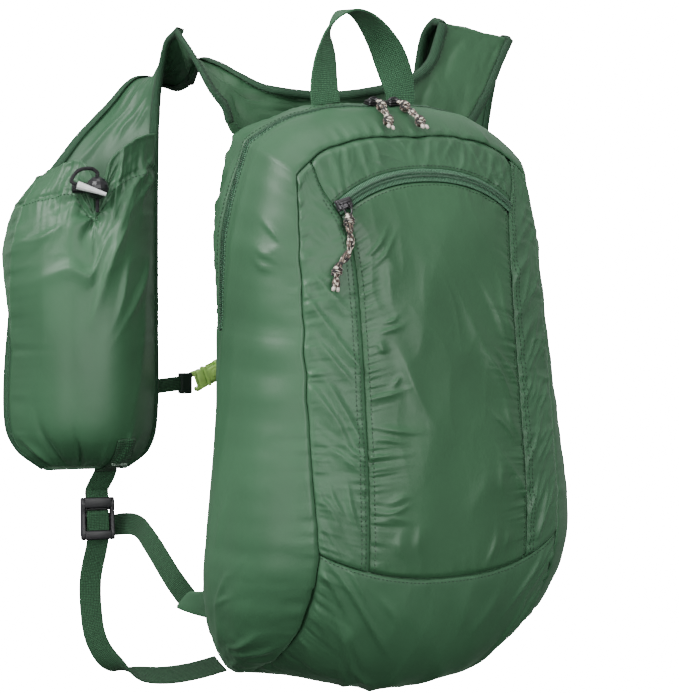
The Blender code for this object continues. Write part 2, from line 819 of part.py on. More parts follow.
def frame_at(origin, x_way, z_way):
    """A frame whose X runs along x_way and whose Z lies as near z_way as it can."""
    x = x_way.normalized()
    z = (z_way - x * z_way.dot(x)).normalized()
    turned = Matrix((x, z.cross(x), z)).transposed().to_4x4()
    turned.translation = origin
    return turned


def block(name, size, place, group):
    """A box of the given size in a frame."""
    shape = bmesh.new()
    bmesh.ops.create_cube(shape, size=1, matrix=Matrix.Diagonal((*size, 1)))
    mesh = bpy.data.meshes.new(name)
    shape.to_mesh(mesh)
    shape.free()
    thing = bpy.data.objects.new(name, mesh)
    thing.matrix_local = place
    thing.parent = hanger
    group.objects.link(thing)
    return thing


def rounded(thing, width):
    bevel = thing.modifiers.new("edges", "BEVEL")
    bevel.width = width
    bevel.segments = 1
    bevel.limit_method = "ANGLE"


def combine(thing, tool, operation):
    tool.hide_render = True
    tool.display_type = "WIRE"
    joined = thing.modifiers.new(tool.name, "BOOLEAN")
    joined.operation = operation
    joined.object = tool


def moved(place, x=0.0, y=0.0, z=0.0):
    return place @ Matrix.Translation((x, y, z))


def surface_frame(place, a, b):
    """The point of a panel at (a, b), with the directions along a and b."""
    near = 0.01
    way_a = place(a + near, b) - place(a - near, b)
    way_b = place(a, b + near) - place(a, b - near)
    return place(a, b), way_a.normalized(), way_b.normalized()


def make_slider(name, at, forward, out, reach):
    """A zip slider lying on its zip."""
    frame = frame_at(at + out * (reach + slider_height / 2), forward, out)
    body = block(name, (slider_length, slider_width, slider_height), frame, bag)
    rounded(body, slider_height * 0.22)
    dress(body, "slider_metal")


def make_zip_fittings():
    """The sliders of both zips and the doubled cords that pull them."""
    stand = zip_thickness + seam_gap
    for side, word in ((-1, "left"), (1, "right")):
        along = 0.5 + side * slider_spread / 2 / along_length
        across = zip_share(along)[0]
        at, way, down = surface_frame(side_surface, along, across)
        out = way.cross(down) * (1 if way.cross(down).z > 0 else -1)
        make_slider(f"main_slider_{word}", at, way, out, stand)
        lift = pull_cord / 2 + cloth_wall + 3 * seam_gap
        start = at + down * (slider_width / 2 + pull_cord / 2 + seam_gap) + out * (lift + 0.0003)
        away = Vector((0, -0.6, 1)).normalized()
        end = front_surface(pull_ends[word], 0) + away * (lift + 0.0030)
        route = [start, between(start, end, 0.5) + out * 0.0012, end]
        make_tube(f"main_pull_{word}", "paracord", route, pull_cord, 6)

    across = -0.93
    share = across * pocket_edge(zip_run(across))
    at, way, down = surface_frame(front_surface, share, zip_run(across))
    out = down.cross(way) * (1 if down.cross(way).y < 0 else -1)
    make_slider("pocket_slider", at, way, out, stand)
    route = []
    for aside, fall, rise in pocket_pull_route:
        point = front_surface(share + aside / (front_width / 2), zip_run(across) + fall / run_length)
        route.append(point + out * (cloth_wall + pull_cord / 2 + 2 * seam_gap + rise))
    make_tube("pocket_pull", "paracord", route, pull_cord, 3)


def make_handle():
    """Webbing sewn to the top panel behind the zip: its width runs across at the feet and back at the top."""
    stand = (1 - handle_sink) * cloth_wall + webbing_wall / 2
    from_middle = handle_span / 2 / side_reading(0)["seam"].x * (0.5 - corner_along)
    feet = [side_surface(0.5 + side * from_middle, handle_across) + Vector((0, 0, stand)) for side in (-1, 1)]
    points = []
    for share, rise, sway, turn in handle_route:
        base = between(feet[0], feet[1], share)
        place = base + Vector((sway * handle_span, 0, rise * handle_height))
        angle = math.radians(turn)
        points.append((place, Vector((math.cos(angle), math.sin(angle), 0))))
    make_ribbon("grab_handle", "webbing", points, handle_webbing, webbing_wall, 2)


def lock_frames():
    """Frames of the two ladder locks: X along their width, Y behind them and Z up."""
    found = []
    for side, word, table, shift in (
        (-1, "left", left_strap_sections, left_lock_aside),
        (1, "right", right_strap_sections, 0),
    ):
        arm, neck = strap_edges(table, 1.0)
        aside, out = strap_outward(table, 1.0)
        hang = between(arm, neck, lock_places[word])
        origin = hang + aside * shift - Vector((0, 0, lock_drop))
        found.append((side, frame_at(origin, aside, Vector((0, 0, 1))), hang, aside, out))
    return found


def make_ladder_lock(word, frame):
    """A frame with two windows, whose middle bar the webbing turns over."""
    wide = strap_webbing + 2 * (window_clearance + lock_bar)
    body = block(f"ladder_lock_{word}", (wide, lock_bar, lock_height), frame, bag)
    rounded(body, lock_bar * 0.2)
    inside = strap_webbing + 2 * window_clearance
    for part_name, low, high in (("upper", *upper_window), ("lower", *lower_window)):
        place = moved(frame, z=(low + high) / 2 * lock_height)
        size = (inside, 3 * lock_bar, (high - low) * lock_height)
        combine(body, block(f"{part_name}_window_{word}", size, place, cutters), "DIFFERENCE")
    dress(body, "black_plastic")


def make_lower_straps():
    """Ladder locks with the short webbing above them, and the long one to the side tab with its free end."""
    up = Vector((0, 0, 1))
    for side, frame, hang, aside, out in lock_frames():
        word = "left" if side < 0 else "right"
        make_ladder_lock(word, frame)
        behind = -out
        stand = seam_gap + webbing_wall / 2
        bar = lock_bar / 2 + seam_gap + webbing_wall / 2 + 0.0004
        wide = aside * -side

        def near(x, y, z):
            """A place by the lock: along its width, behind it and up, in metres."""
            return frame.translation + wide * x + behind * y + up * z

        def turn(bar_edge, way):
            """Half a turn of webbing round a bar, from behind it to its front, above (1) or below (-1)."""
            corner = lock_bar / 2
            path = ((bar, -0.0012), (0.92 * bar, 0.0007), (corner, 0.0015), (0, 0.0018))
            path += tuple((-y, z) for y, z in path[2::-1])
            return [(near(0, y, bar_edge + way * z), wide) for y, z in path]

        high = upper_window[1] * lock_height
        middle = upper_window[0] * lock_height
        top = lock_height / 2
        loop = [
            (hang + behind * stand + up * 0.013, wide),
            (hang + behind * stand - up * 0.001, wide),
            (near(0, bar, top + 0.004), wide),
            (near(0, bar, top), wide),
            *turn(high, -1),
            (near(0, -bar, top), wide),
            (near(0, -0.55 * bar, top + 0.005), wide),
        ]
        make_ribbon(f"strap_webbing_{word}", "webbing", loop, strap_webbing, webbing_wall, 2)

        lift = Vector((0, 1.5 * cloth_wall + 2 * seam_gap, 0))
        root = [back_point(side * tab_root_x, run) + lift for run in tab_root_runs]
        reach = Vector((side * tab_reach_x, tab_reach_y, tab_reach_z))
        tip_middle = between(root[0], root[1], 0.5) + reach
        tip_way = Vector((side * 0.35, 0.55, -0.75)).normalized()
        tip = [tip_middle - tip_way * strap_webbing * 0.54, tip_middle + tip_way * strap_webbing * 0.54]

        def tab(u, v):
            start, end = between(root[0], root[1], v), between(tip[0], tip[1], v)
            return between(start, end, u) + Vector((side, -1, 0)) * tab_bow * math.sin(math.pi * u)

        outward = tab if side < 0 else flipped(tab)
        make_sheet(f"side_tab_{word}", "nylon", 3, 2, outward, cloth_wall, centred=True)

        tab_normal = reach.cross(tip_way).normalized() * side
        route = [(tip_middle + tab_normal * 0.0024 - reach.normalized() * 0.004, tip_way)]
        for x, y, z, wx, wy, wz in approach_route:
            place = Vector((side * x * shoulder_span, y * shoulder_reach, z * body_height))
            route.append((place, Vector((side * wx, wy, wz))))
        route += [
            (near(-0.003, 0.0110, -0.0120), wide * 0.8 - up * 0.4),
            (near(0, 0.0062, -0.0070), wide),
            (near(0, bar + 0.0004, -0.0020), wide),
            *turn(middle, 1),
            (near(0, -bar, 0), wide),
            (near(0, -bar, -lock_height / 2), wide),
        ]
        for x, y, z, wx, wy, wz in tail_routes[word]:
            place = Vector((x * shoulder_span, y * shoulder_reach, z * body_height))
            route.append((place, Vector((wx, wy, wz))))
        make_ribbon(f"adjuster_webbing_{word}", "webbing", route, strap_webbing, webbing_wall, 2)


def make_sternum_strap():
    """Webbing from strap to strap through a keeper and a fastened side-release buckle."""
    stand = seam_gap + webbing_wall / 2
    left_arm = strap_edges(left_strap_sections, sternum_left_run)[0]
    aside, out = strap_outward(left_strap_sections, sternum_left_run)
    start = left_arm + aside * sternum_webbing * 0.7 - out * stand
    right_arm, right_neck = strap_edges(right_strap_sections, sternum_right_run)
    across = (right_arm - right_neck).normalized()
    end = right_neck + across * sternum_webbing * 0.7 + Vector((0, stand + strap_wall, 0))

    def at(share):
        lift = follow(sternum_sag, "lift", share) * body_height
        return between(start, end, share) + Vector((0, 0, lift))

    run = (end - start).length
    centre = at(buckle_share)
    way = (at(buckle_share + 0.02) - at(buckle_share - 0.02)).normalized()
    upright = Vector((0, 0, 1))
    frame = frame_at(centre, way, upright)
    thick, wide = buckle_thickness, buckle_width
    plug_length = plug_share * buckle_length
    socket_length = buckle_length - plug_length - seam_gap
    socket_at = moved(frame, x=(plug_length + seam_gap) / 2)
    socket = block("buckle_socket", (socket_length, thick, wide), socket_at, bag)
    rounded(socket, 0.0012)
    cavity = (socket_length, thick - 2 * buckle_wall, wide - 2 * buckle_wall)
    combine(socket, block("buckle_cavity", cavity, moved(socket_at, x=-buckle_wall), cutters), "DIFFERENCE")
    window = (0.4 * socket_length, thick - 2.6 * buckle_wall, 2 * wide)
    window_at = moved(frame, x=0.12 * buckle_length)
    combine(socket, block("buckle_windows", window, window_at, cutters), "DIFFERENCE")
    dress(socket, "lime_plastic")

    plug_at = moved(frame, x=-(buckle_length - plug_length) / 2)
    plug = block("buckle_plug", (plug_length, thick, wide), plug_at, bag)
    rounded(plug, 0.0010)
    prong_length = prong_share * socket_length
    prong_thick = cavity[1] - 2 * seam_gap
    prong_wide = 0.2 * wide
    for n, place in ((1, -1), (2, 0), (3, 1)):
        offset = place * (cavity[2] / 2 - seam_gap - prong_wide / 2)
        at_x = plug_length / 2 + prong_length / 2 - 0.0005
        size = (prong_length, prong_thick, prong_wide)
        combine(plug, block(f"buckle_prong_{n}", size, moved(plug_at, x=at_x, z=offset), cutters), "UNION")
    dress(plug, "lime_plastic")

    half = buckle_length / 2 + 3 * seam_gap
    low, high = buckle_share - half / run, buckle_share + half / run
    square = frame.to_3x3().col[2].copy()
    left_end = centre - way * (half + left_end_gap)
    ring_from = at(keeper_share - 0.6 * keeper_length / run)
    before = [(at(0), upright), (at(0.4 * keeper_share), upright), (ring_from, square), (left_end, square)]
    after = [(centre + way * half, square), (centre + way * (half + 0.005), square)]
    after += [(at(between(high, 1, n / 5)), upright) for n in range(1, 6)]
    make_ribbon("sternum_webbing_left", "webbing", before, sternum_webbing, webbing_wall, 3)
    make_ribbon("sternum_webbing_right", "webbing", after, sternum_webbing, webbing_wall, 3)

    ring_frame = frame_at(between(ring_from, left_end, 0.5), left_end - ring_from, upright)
    rim = 0.0018
    hole = (2 * keeper_length, webbing_wall + 0.0012, sternum_webbing + 0.0010)
    ring = block("sternum_keeper", (keeper_length, hole[1] + 2 * rim, hole[2] + 2 * rim), ring_frame, bag)
    rounded(ring, 0.0007)
    combine(ring, block("keeper_hole", hole, ring_frame, cutters), "DIFFERENCE")
    dress(ring, "dark_nylon")


def round_block(name, radius, length, place, group, sides=14):
    """A cylinder along the X of a frame."""
    shape = bmesh.new()
    bmesh.ops.create_cone(shape, cap_ends=True, segments=sides, radius1=radius, radius2=radius, depth=length)
    bmesh.ops.rotate(shape, verts=shape.verts, cent=(0, 0, 0), matrix=Matrix.Rotation(math.pi / 2, 3, "Y"))
    mesh = bpy.data.meshes.new(name)
    shape.to_mesh(mesh)
    shape.free()
    thing = bpy.data.objects.new(name, mesh)
    thing.matrix_local = place
    thing.parent = hanger
    group.objects.link(thing)
    return thing


def cord_lock_frame():
    """The cord lock's frame: X is the way the plunger comes out, Z up, at the dip in the pocket's mouth."""
    aside, out = strap_outward(left_strap_sections, pocket_mouth_run)
    rest = strap_pocket_point(0.5, 1.0)
    centre = rest + out * (pocket_wall + ball_stand * ball_radius) + Vector((0, 0, ball_lift * ball_radius))
    return frame_at(centre, aside, Vector((0, 0, 1))), out


def make_cord_lock():
    """A ball with a sprung plunger. The cord passes up through both: the plunger's slot clears its travel."""
    frame, out = cord_lock_frame()
    hole = draw_cord / 2 + bore_clearance
    bore = plunger_radius + bore_clearance
    bore_end = -0.82 * ball_radius
    shape = bmesh.new()
    bmesh.ops.create_uvsphere(shape, u_segments=16, v_segments=10, radius=ball_radius)
    mesh = bpy.data.meshes.new("cord_lock_body")
    shape.to_mesh(mesh)
    shape.free()
    mesh.shade_smooth()
    ball = bpy.data.objects.new("cord_lock_body", mesh)
    ball.matrix_local = frame
    bag.objects.link(ball)
    dress(ball, "black_plastic")
    bore_length = 2 * ball_radius
    tool = round_block("plunger_bore", bore, bore_length, moved(frame, x=bore_end + bore_length / 2), cutters)
    combine(ball, tool, "DIFFERENCE")
    upright = frame @ Matrix.Rotation(math.pi / 2, 4, "Y")
    combine(ball, round_block("cord_bore", hole, 4 * ball_radius, upright, cutters, 10), "DIFFERENCE")

    inner_end = bore_end + bore_clearance + plunger_travel
    middle = moved(frame, x=inner_end + plunger_length / 2)
    plunger = round_block("cord_lock_plunger", plunger_radius, plunger_length, middle, bag)
    rounded(plunger, 0.0006)
    slot_length = plunger_travel + 2 * hole
    slot_at = moved(frame, x=plunger_travel / 2)
    slot = block("plunger_slot", (slot_length, 2 * hole, 4 * plunger_radius), slot_at, cutters)
    combine(plunger, slot, "DIFFERENCE")
    dress(plunger, "black_plastic")

    up = Vector((0, 0, 1))
    centre, aside = frame.translation, frame.to_3x3().col[0].copy()
    front = ball_radius + end_tab_radius + 2 * seam_gap
    tab_from = centre + aside * end_tab_length * 0.62 + out * front + up * 0.0022
    tab_to = centre - aside * end_tab_length * 0.36 + out * front - up * 0.0042
    tab_way = (tab_to - tab_from).normalized()
    shape = bmesh.new()
    bmesh.ops.create_cone(
        shape,
        cap_ends=True,
        segments=10,
        radius1=end_tab_radius,
        radius2=0.42 * end_tab_radius,
        depth=end_tab_length,
    )
    mesh = bpy.data.meshes.new("cord_tab")
    shape.to_mesh(mesh)
    shape.free()
    tab = bpy.data.objects.new("cord_tab", mesh)
    turned = tab_way.to_track_quat("Z", "Y").to_matrix().to_4x4()
    tab.matrix_local = Matrix.Translation(between(tab_from, tab_to, 0.5)) @ turned
    bag.objects.link(tab)
    dress(tab, "grey_plastic")

    entry = tab_from - tab_way * (seam_gap + 0.0002)
    route = [
        centre - up * (ball_radius + 0.0085) + out * 0.0008,
        centre - up * (ball_radius + 0.0040),
        centre - up * (ball_radius + 0.0005),
        centre + up * (ball_radius + 0.0005),
        centre + up * (ball_radius + 0.0025),
        centre + up * (ball_radius + 0.0052) + aside * 0.0040 + out * 0.002,
        centre + up * (ball_radius + 0.0038) + aside * 0.012 + out * 0.007,
        entry - tab_way * 0.0035 + up * 0.0015,
        entry,
    ]
    make_tube("drawcord", "black_cord", route, draw_cord, 4)


make_front()
make_side()
make_back()
make_yoke_and_straps()
make_strap_pocket()
make_zip_fittings()
make_handle()
make_lower_straps()
make_sternum_strap()
make_cord_lock()
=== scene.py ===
import math
from functools import lru_cache

import bmesh
import bpy
from mathutils import Matrix, Vector, noise


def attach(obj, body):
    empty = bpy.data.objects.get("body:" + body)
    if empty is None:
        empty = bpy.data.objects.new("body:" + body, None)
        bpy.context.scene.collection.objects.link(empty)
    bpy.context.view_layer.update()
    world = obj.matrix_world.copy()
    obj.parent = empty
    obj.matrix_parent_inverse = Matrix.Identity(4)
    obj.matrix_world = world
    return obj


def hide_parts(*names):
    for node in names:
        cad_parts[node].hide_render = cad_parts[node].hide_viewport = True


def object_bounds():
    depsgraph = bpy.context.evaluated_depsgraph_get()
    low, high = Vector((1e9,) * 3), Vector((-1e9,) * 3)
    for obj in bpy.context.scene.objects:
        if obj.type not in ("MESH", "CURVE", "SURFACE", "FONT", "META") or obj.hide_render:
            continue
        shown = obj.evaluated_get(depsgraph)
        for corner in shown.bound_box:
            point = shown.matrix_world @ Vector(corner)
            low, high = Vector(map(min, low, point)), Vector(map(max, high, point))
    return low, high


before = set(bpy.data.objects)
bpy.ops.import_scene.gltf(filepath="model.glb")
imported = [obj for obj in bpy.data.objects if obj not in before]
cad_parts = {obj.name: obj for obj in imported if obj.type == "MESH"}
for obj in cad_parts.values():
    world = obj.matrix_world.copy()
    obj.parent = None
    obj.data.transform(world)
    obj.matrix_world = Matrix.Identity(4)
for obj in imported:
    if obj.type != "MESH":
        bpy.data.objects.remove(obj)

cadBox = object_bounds()
print("frame loaded:", len(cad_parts), "nodes")

# camera first, then the cords; the photograph's frame is 679 x 693
camera = {"target": (0.0, -0.0119, -0.1722), "azimuth": -35.0, "elevation": 4.0, "distance": 2.0, "lens": 155.9}
turn, tilt = math.radians(camera["azimuth"]), math.radians(camera["elevation"])
backward = Vector((math.sin(turn) * math.cos(tilt), -math.cos(turn) * math.cos(tilt), math.sin(tilt)))
lensData = bpy.data.cameras.new("camera")
lensData.lens = camera["lens"]
lensData.sensor_width = 36
lensData.sensor_fit = "HORIZONTAL"
lensData.clip_end = 60
viewer = bpy.data.objects.new("camera", lensData)
viewer.location = Vector(camera["target"]) + backward * camera["distance"]
viewer.rotation_euler = backward.to_track_quat("Z", "Y").to_euler()
bpy.context.scene.collection.objects.link(viewer)
bpy.context.scene.camera = viewer

# materials
greens = {
    "body": (0.040, 0.108, 0.054),
    # deep: the body green made darker, painted shade on the front pocket, the back panel and the inner pieces
    "deep": (0.036, 0.100, 0.048),
    # pale: the straps' green, made darker than the body green, painted shade on the straps
    "pale": (0.036, 0.100, 0.050),
    # yoke: the body green made darker still, painted shade on the shoulder yoke
    "yoke": (0.028, 0.082, 0.038),
    "binding": (0.018, 0.066, 0.030),
    "thread": (0.016, 0.048, 0.024),
    "webbing": (0.026, 0.084, 0.038),
}


def newMaterial(name, color, roughness, metallic=0.0):
    made = bpy.data.materials.new(name)
    made.use_nodes = True
    shader = made.node_tree.nodes["Principled BSDF"]
    shader.inputs["Base Color"].default_value = (*color, 1)
    shader.inputs["Roughness"].default_value = roughness
    shader.inputs["Metallic"].default_value = metallic
    return made, made.node_tree.nodes, made.node_tree.links, shader


def nodeOf(nodes, kind, **values):
    made = nodes.new(kind)
    for key, value in values.items():
        if key in made.inputs:
            made.inputs[key].default_value = value
        else:
            setattr(made, key, value)
    return made


def tintBy(nodes, links, source, dark, light, low=0.3, high=0.7):
    # for the weaves and the zip tape the darker tint is painted shade in their hollows
    ramp = nodes.new("ShaderNodeValToRGB")  # two tints of one cloth
    ramp.color_ramp.elements[0].position, ramp.color_ramp.elements[1].position = low, high
    ramp.color_ramp.elements[0].color, ramp.color_ramp.elements[1].color = (*dark, 1), (*light, 1)
    links.new(source, ramp.inputs["Fac"])
    return ramp.outputs["Color"]


def bumpChain(nodes, links, shader, layers):
    last = None  # each layer is (height output, strength, distance)
    for height, strength, distance in layers:
        bump = nodeOf(nodes, "ShaderNodeBump", Strength=strength, Distance=distance)
        links.new(height, bump.inputs["Height"])
        if last:
            links.new(last, bump.inputs["Normal"])
        last = bump.outputs["Normal"]
    links.new(last, shader.inputs["Normal"])


def shade(color, by):
    return tuple(c * by for c in color)


def nylon(name, color, roughness=0.42, crinkle=0.5, sheen=0.12):
    made, nodes, links, shader = newMaterial(name, color, roughness)
    place = nodes.new("ShaderNodeTexCoord")
    cloudy = nodeOf(nodes, "ShaderNodeTexNoise", Scale=14.0, Detail=3.0, Roughness=0.5)
    links.new(place.outputs["Object"], cloudy.inputs["Vector"])
    tint = tintBy(nodes, links, cloudy.outputs["Fac"], shade(color, 0.86), shade(color, 1.12))
    links.new(tint, shader.inputs["Base Color"])
    rough = nodeOf(nodes, "ShaderNodeMapRange")
    rough.inputs["To Min"].default_value, rough.inputs["To Max"].default_value = roughness - 0.05, roughness + 0.07
    links.new(cloudy.outputs["Fac"], rough.inputs["Value"])
    links.new(rough.outputs["Result"], shader.inputs["Roughness"])
    crease = nodeOf(nodes, "ShaderNodeTexNoise", Scale=34.0, Detail=2.0, Roughness=0.5, Distortion=0.3)
    links.new(place.outputs["Object"], crease.inputs["Vector"])
    soft = nodeOf(nodes, "ShaderNodeTexNoise", Scale=60.0, Detail=3.0, Roughness=0.5, Distortion=0.8)
    links.new(place.outputs["Object"], soft.inputs["Vector"])
    weave = nodes.new("ShaderNodeTexCoord")
    warp = nodeOf(nodes, "ShaderNodeTexWave", Scale=700.0, bands_direction="X")
    weft = nodeOf(nodes, "ShaderNodeTexWave", Scale=700.0, bands_direction="Y")
    for thread in (warp, weft):
        links.new(weave.outputs["UV"], thread.inputs["Vector"])
    both = nodeOf(nodes, "ShaderNodeMath", operation="ADD")
    links.new(warp.outputs["Fac"], both.inputs[0])
    links.new(weft.outputs["Fac"], both.inputs[1])
    bumpChain(
        nodes, links, shader,
        [
            (crease.outputs["Fac"], 0.35 * crinkle, 0.0012),
            (soft.outputs["Fac"], 0.5 * crinkle, 0.0010),
            (both.outputs["Value"], 0.10, 0.00008),
        ],
    )
    shader.inputs["Specular IOR Level"].default_value = 0.32
    shader.inputs["Sheen Weight"].default_value = sheen
    shader.inputs["Sheen Roughness"].default_value = 0.35
    shader.inputs["Sheen Tint"].default_value = (0.40, 0.85, 0.50, 1)
    return made


def woven(name, color, pitch=0.0011, depth=0.0005, roughness=0.72):
    # coarse webbing, with its pattern along the strip's own UV
    made, nodes, links, shader = newMaterial(name, color, roughness)
    place = nodes.new("ShaderNodeTexCoord")
    across = nodeOf(nodes, "ShaderNodeTexWave", Scale=0.314 / pitch, bands_direction="X", Distortion=0.4)
    along = nodeOf(nodes, "ShaderNodeTexWave", Scale=0.314 / pitch, bands_direction="Y", Distortion=0.4)
    for thread in (across, along):
        links.new(place.outputs["UV"], thread.inputs["Vector"])
    cell = nodeOf(nodes, "ShaderNodeMath", operation="MULTIPLY")
    links.new(across.outputs["Fac"], cell.inputs[0])
    links.new(along.outputs["Fac"], cell.inputs[1])
    fuzz = nodeOf(nodes, "ShaderNodeTexNoise", Scale=900.0, Detail=2.0)
    links.new(place.outputs["Object"], fuzz.inputs["Vector"])
    mixed = nodeOf(nodes, "ShaderNodeMath", operation="MULTIPLY_ADD")
    mixed.inputs[1].default_value = 0.5
    links.new(fuzz.outputs["Fac"], mixed.inputs[0])
    links.new(cell.outputs["Value"], mixed.inputs[2])
    # the colour follows the weave's height: darker in the hollows between the threads, a painted shade; the fuzz noise
    # adds the yarn's own random tone
    tint = tintBy(nodes, links, mixed.outputs["Value"], shade(color, 0.42), shade(color, 1.55), 0.15, 1.0)
    links.new(tint, shader.inputs["Base Color"])
    bumpChain(nodes, links, shader, [(mixed.outputs["Value"], 0.8, depth)])
    shader.inputs["Sheen Weight"].default_value = 0.06
    shader.inputs["Specular IOR Level"].default_value = 0.25
    return made


def zipTape(name, color):
    made, nodes, links, shader = newMaterial(name, color, 0.6)
    place = nodes.new("ShaderNodeTexCoord")
    ribs = nodeOf(nodes, "ShaderNodeTexWave", Scale=0.314 / 0.0011, bands_direction="Y", Distortion=0.2)
    weave = nodeOf(nodes, "ShaderNodeTexWave", Scale=0.314 / 0.0008, bands_direction="DIAGONAL", Distortion=1.0)
    speckle = nodeOf(nodes, "ShaderNodeTexNoise", Scale=1100.0, Detail=1.0)
    for thread in (ribs, weave):
        links.new(place.outputs["UV"], thread.inputs["Vector"])
    links.new(place.outputs["Object"], speckle.inputs["Vector"])
    both = nodeOf(nodes, "ShaderNodeMath", operation="MULTIPLY_ADD")
    both.inputs[1].default_value = 0.5
    links.new(speckle.outputs["Fac"], both.inputs[0])
    links.new(ribs.outputs["Fac"], both.inputs[2])
    # the colour follows the ribs' height: darker in the grooves between the ribs, a painted shade; the speckle noise
    # is the tape's own flecks
    tint = tintBy(nodes, links, both.outputs["Value"], shade(color, 0.28), shade(color, 1.7), 0.25, 1.15)
    links.new(tint, shader.inputs["Base Color"])
    bumpChain(nodes, links, shader, [(ribs.outputs["Fac"], 0.7, 0.0005), (weave.outputs["Fac"], 0.3, 0.0002)])
    return made


def paracord(name):
    made, nodes, links, shader = newMaterial(name, (0.16, 0.11, 0.07), 0.75)
    place = nodes.new("ShaderNodeTexCoord")
    flecks = nodeOf(nodes, "ShaderNodeTexVoronoi", Scale=1150.0, Randomness=1.0)
    stretch = nodeOf(nodes, "ShaderNodeMapping")
    stretch.inputs["Scale"].default_value = (1.0, 0.55, 1.0)
    links.new(place.outputs["UV"], stretch.inputs["Vector"])
    links.new(stretch.outputs["Vector"], flecks.inputs["Vector"])
    split = nodes.new("ShaderNodeSeparateColor")
    links.new(flecks.outputs["Color"], split.inputs["Color"])
    ramp = nodes.new("ShaderNodeValToRGB")
    ramp.color_ramp.interpolation = "CONSTANT"
    stops = (
        (0.0, (0.006, 0.005, 0.005)), (0.36, (0.060, 0.036, 0.026)),
        (0.60, (0.17, 0.125, 0.095)), (0.82, (0.66, 0.60, 0.50)),
    )
    while len(ramp.color_ramp.elements) < len(stops):
        ramp.color_ramp.elements.new(0.5)
    for element, (position, tint) in zip(ramp.color_ramp.elements, stops):
        element.position, element.color = position, (*tint, 1)
    links.new(split.outputs["Red"], ramp.inputs["Fac"])
    links.new(ramp.outputs["Color"], shader.inputs["Base Color"])
    bumpChain(nodes, links, shader, [(flecks.outputs["Distance"], 0.8, 0.0005)])
    shader.inputs["Sheen Weight"].default_value = 0.2
    return made


def moulded(name, color, roughness, metallic=0.0, grain=220.0, depth=0.00008):
    made, nodes, links, shader = newMaterial(name, color, roughness, metallic)
    place = nodes.new("ShaderNodeTexCoord")
    fine = nodeOf(nodes, "ShaderNodeTexNoise", Scale=grain, Detail=3.0)
    links.new(place.outputs["Object"], fine.inputs["Vector"])
    links.new(
        tintBy(nodes, links, fine.outputs["Fac"], shade(color, 0.88), shade(color, 1.1)), shader.inputs["Base Color"]
    )
    rough = nodeOf(nodes, "ShaderNodeMapRange")
    rough.inputs["To Min"].default_value, rough.inputs["To Max"].default_value = roughness * 0.85, roughness * 1.2
    links.new(fine.outputs["Fac"], rough.inputs["Value"])
    links.new(rough.outputs["Result"], shader.inputs["Roughness"])
    bumpChain(nodes, links, shader, [(fine.outputs["Fac"], 0.25, depth)])
    return made


looks = {
    "body": nylon("greenNylon", greens["body"], 0.42, 0.45),
    "side": nylon("sideNylon", greens["body"], 0.40, 0.22),
    # the nylon of the front pocket, back and inner pieces: a darker copy of the body nylon, painted shade
    "deep": nylon("shadeDarkenedNylon", greens["deep"], 0.36, 0.50, 0.08),
    # the straps' nylon: a darker copy of the body nylon, painted shade
    "pale": nylon("strapShadeNylon", greens["pale"], 0.44, 0.45),
    # the yoke's nylon: a darker copy of the body nylon, painted shade
    "yoke": nylon("yokeShadeNylon", greens["yoke"], 0.46, 0.45),
    "binding": woven("foldedBinding", greens["binding"], 0.0007, 0.0002, 0.6),
    "webbing": woven("greenWebbing", greens["webbing"]),
    "handle": woven("handleWebbing", (0.050, 0.145, 0.072), 0.0013, 0.0006),
    "thread": moulded("sewingThread", greens["thread"], 0.6, grain=900.0),
    "paleThread": moulded("paleSewingThread", (0.30, 0.40, 0.32), 0.6, grain=900.0),
    "coil": moulded("zipCoil", (0.026, 0.074, 0.040), 0.42, grain=900.0),
    "zip": zipTape("zipTape", (0.040, 0.116, 0.062)),
    "paracord": paracord("camoParacord"),
    "tips": moulded("meltedTips", (0.62, 0.56, 0.50), 0.5, grain=700.0),
    "metal": moulded("gunmetal", (0.070, 0.068, 0.072), 0.30, 0.85, 400.0),
    "black": moulded("blackPlastic", (0.012, 0.012, 0.014), 0.28),
    "lockBlack": moulded("lockPlastic", (0.009, 0.009, 0.011), 0.40),
    "elastic": woven("blackElastic", (0.014, 0.014, 0.016), 0.0006, 0.0002, 0.6),
    "elasticCloth": nylon("keeperCloth", (0.010, 0.022, 0.014), 0.6, 0.2),
    "grey": moulded("greyTab", (0.62, 0.64, 0.63), 0.32),
    "lime": moulded("limePlastic", (0.42, 0.72, 0.17), 0.34),
}
print("materials made:", len(looks))

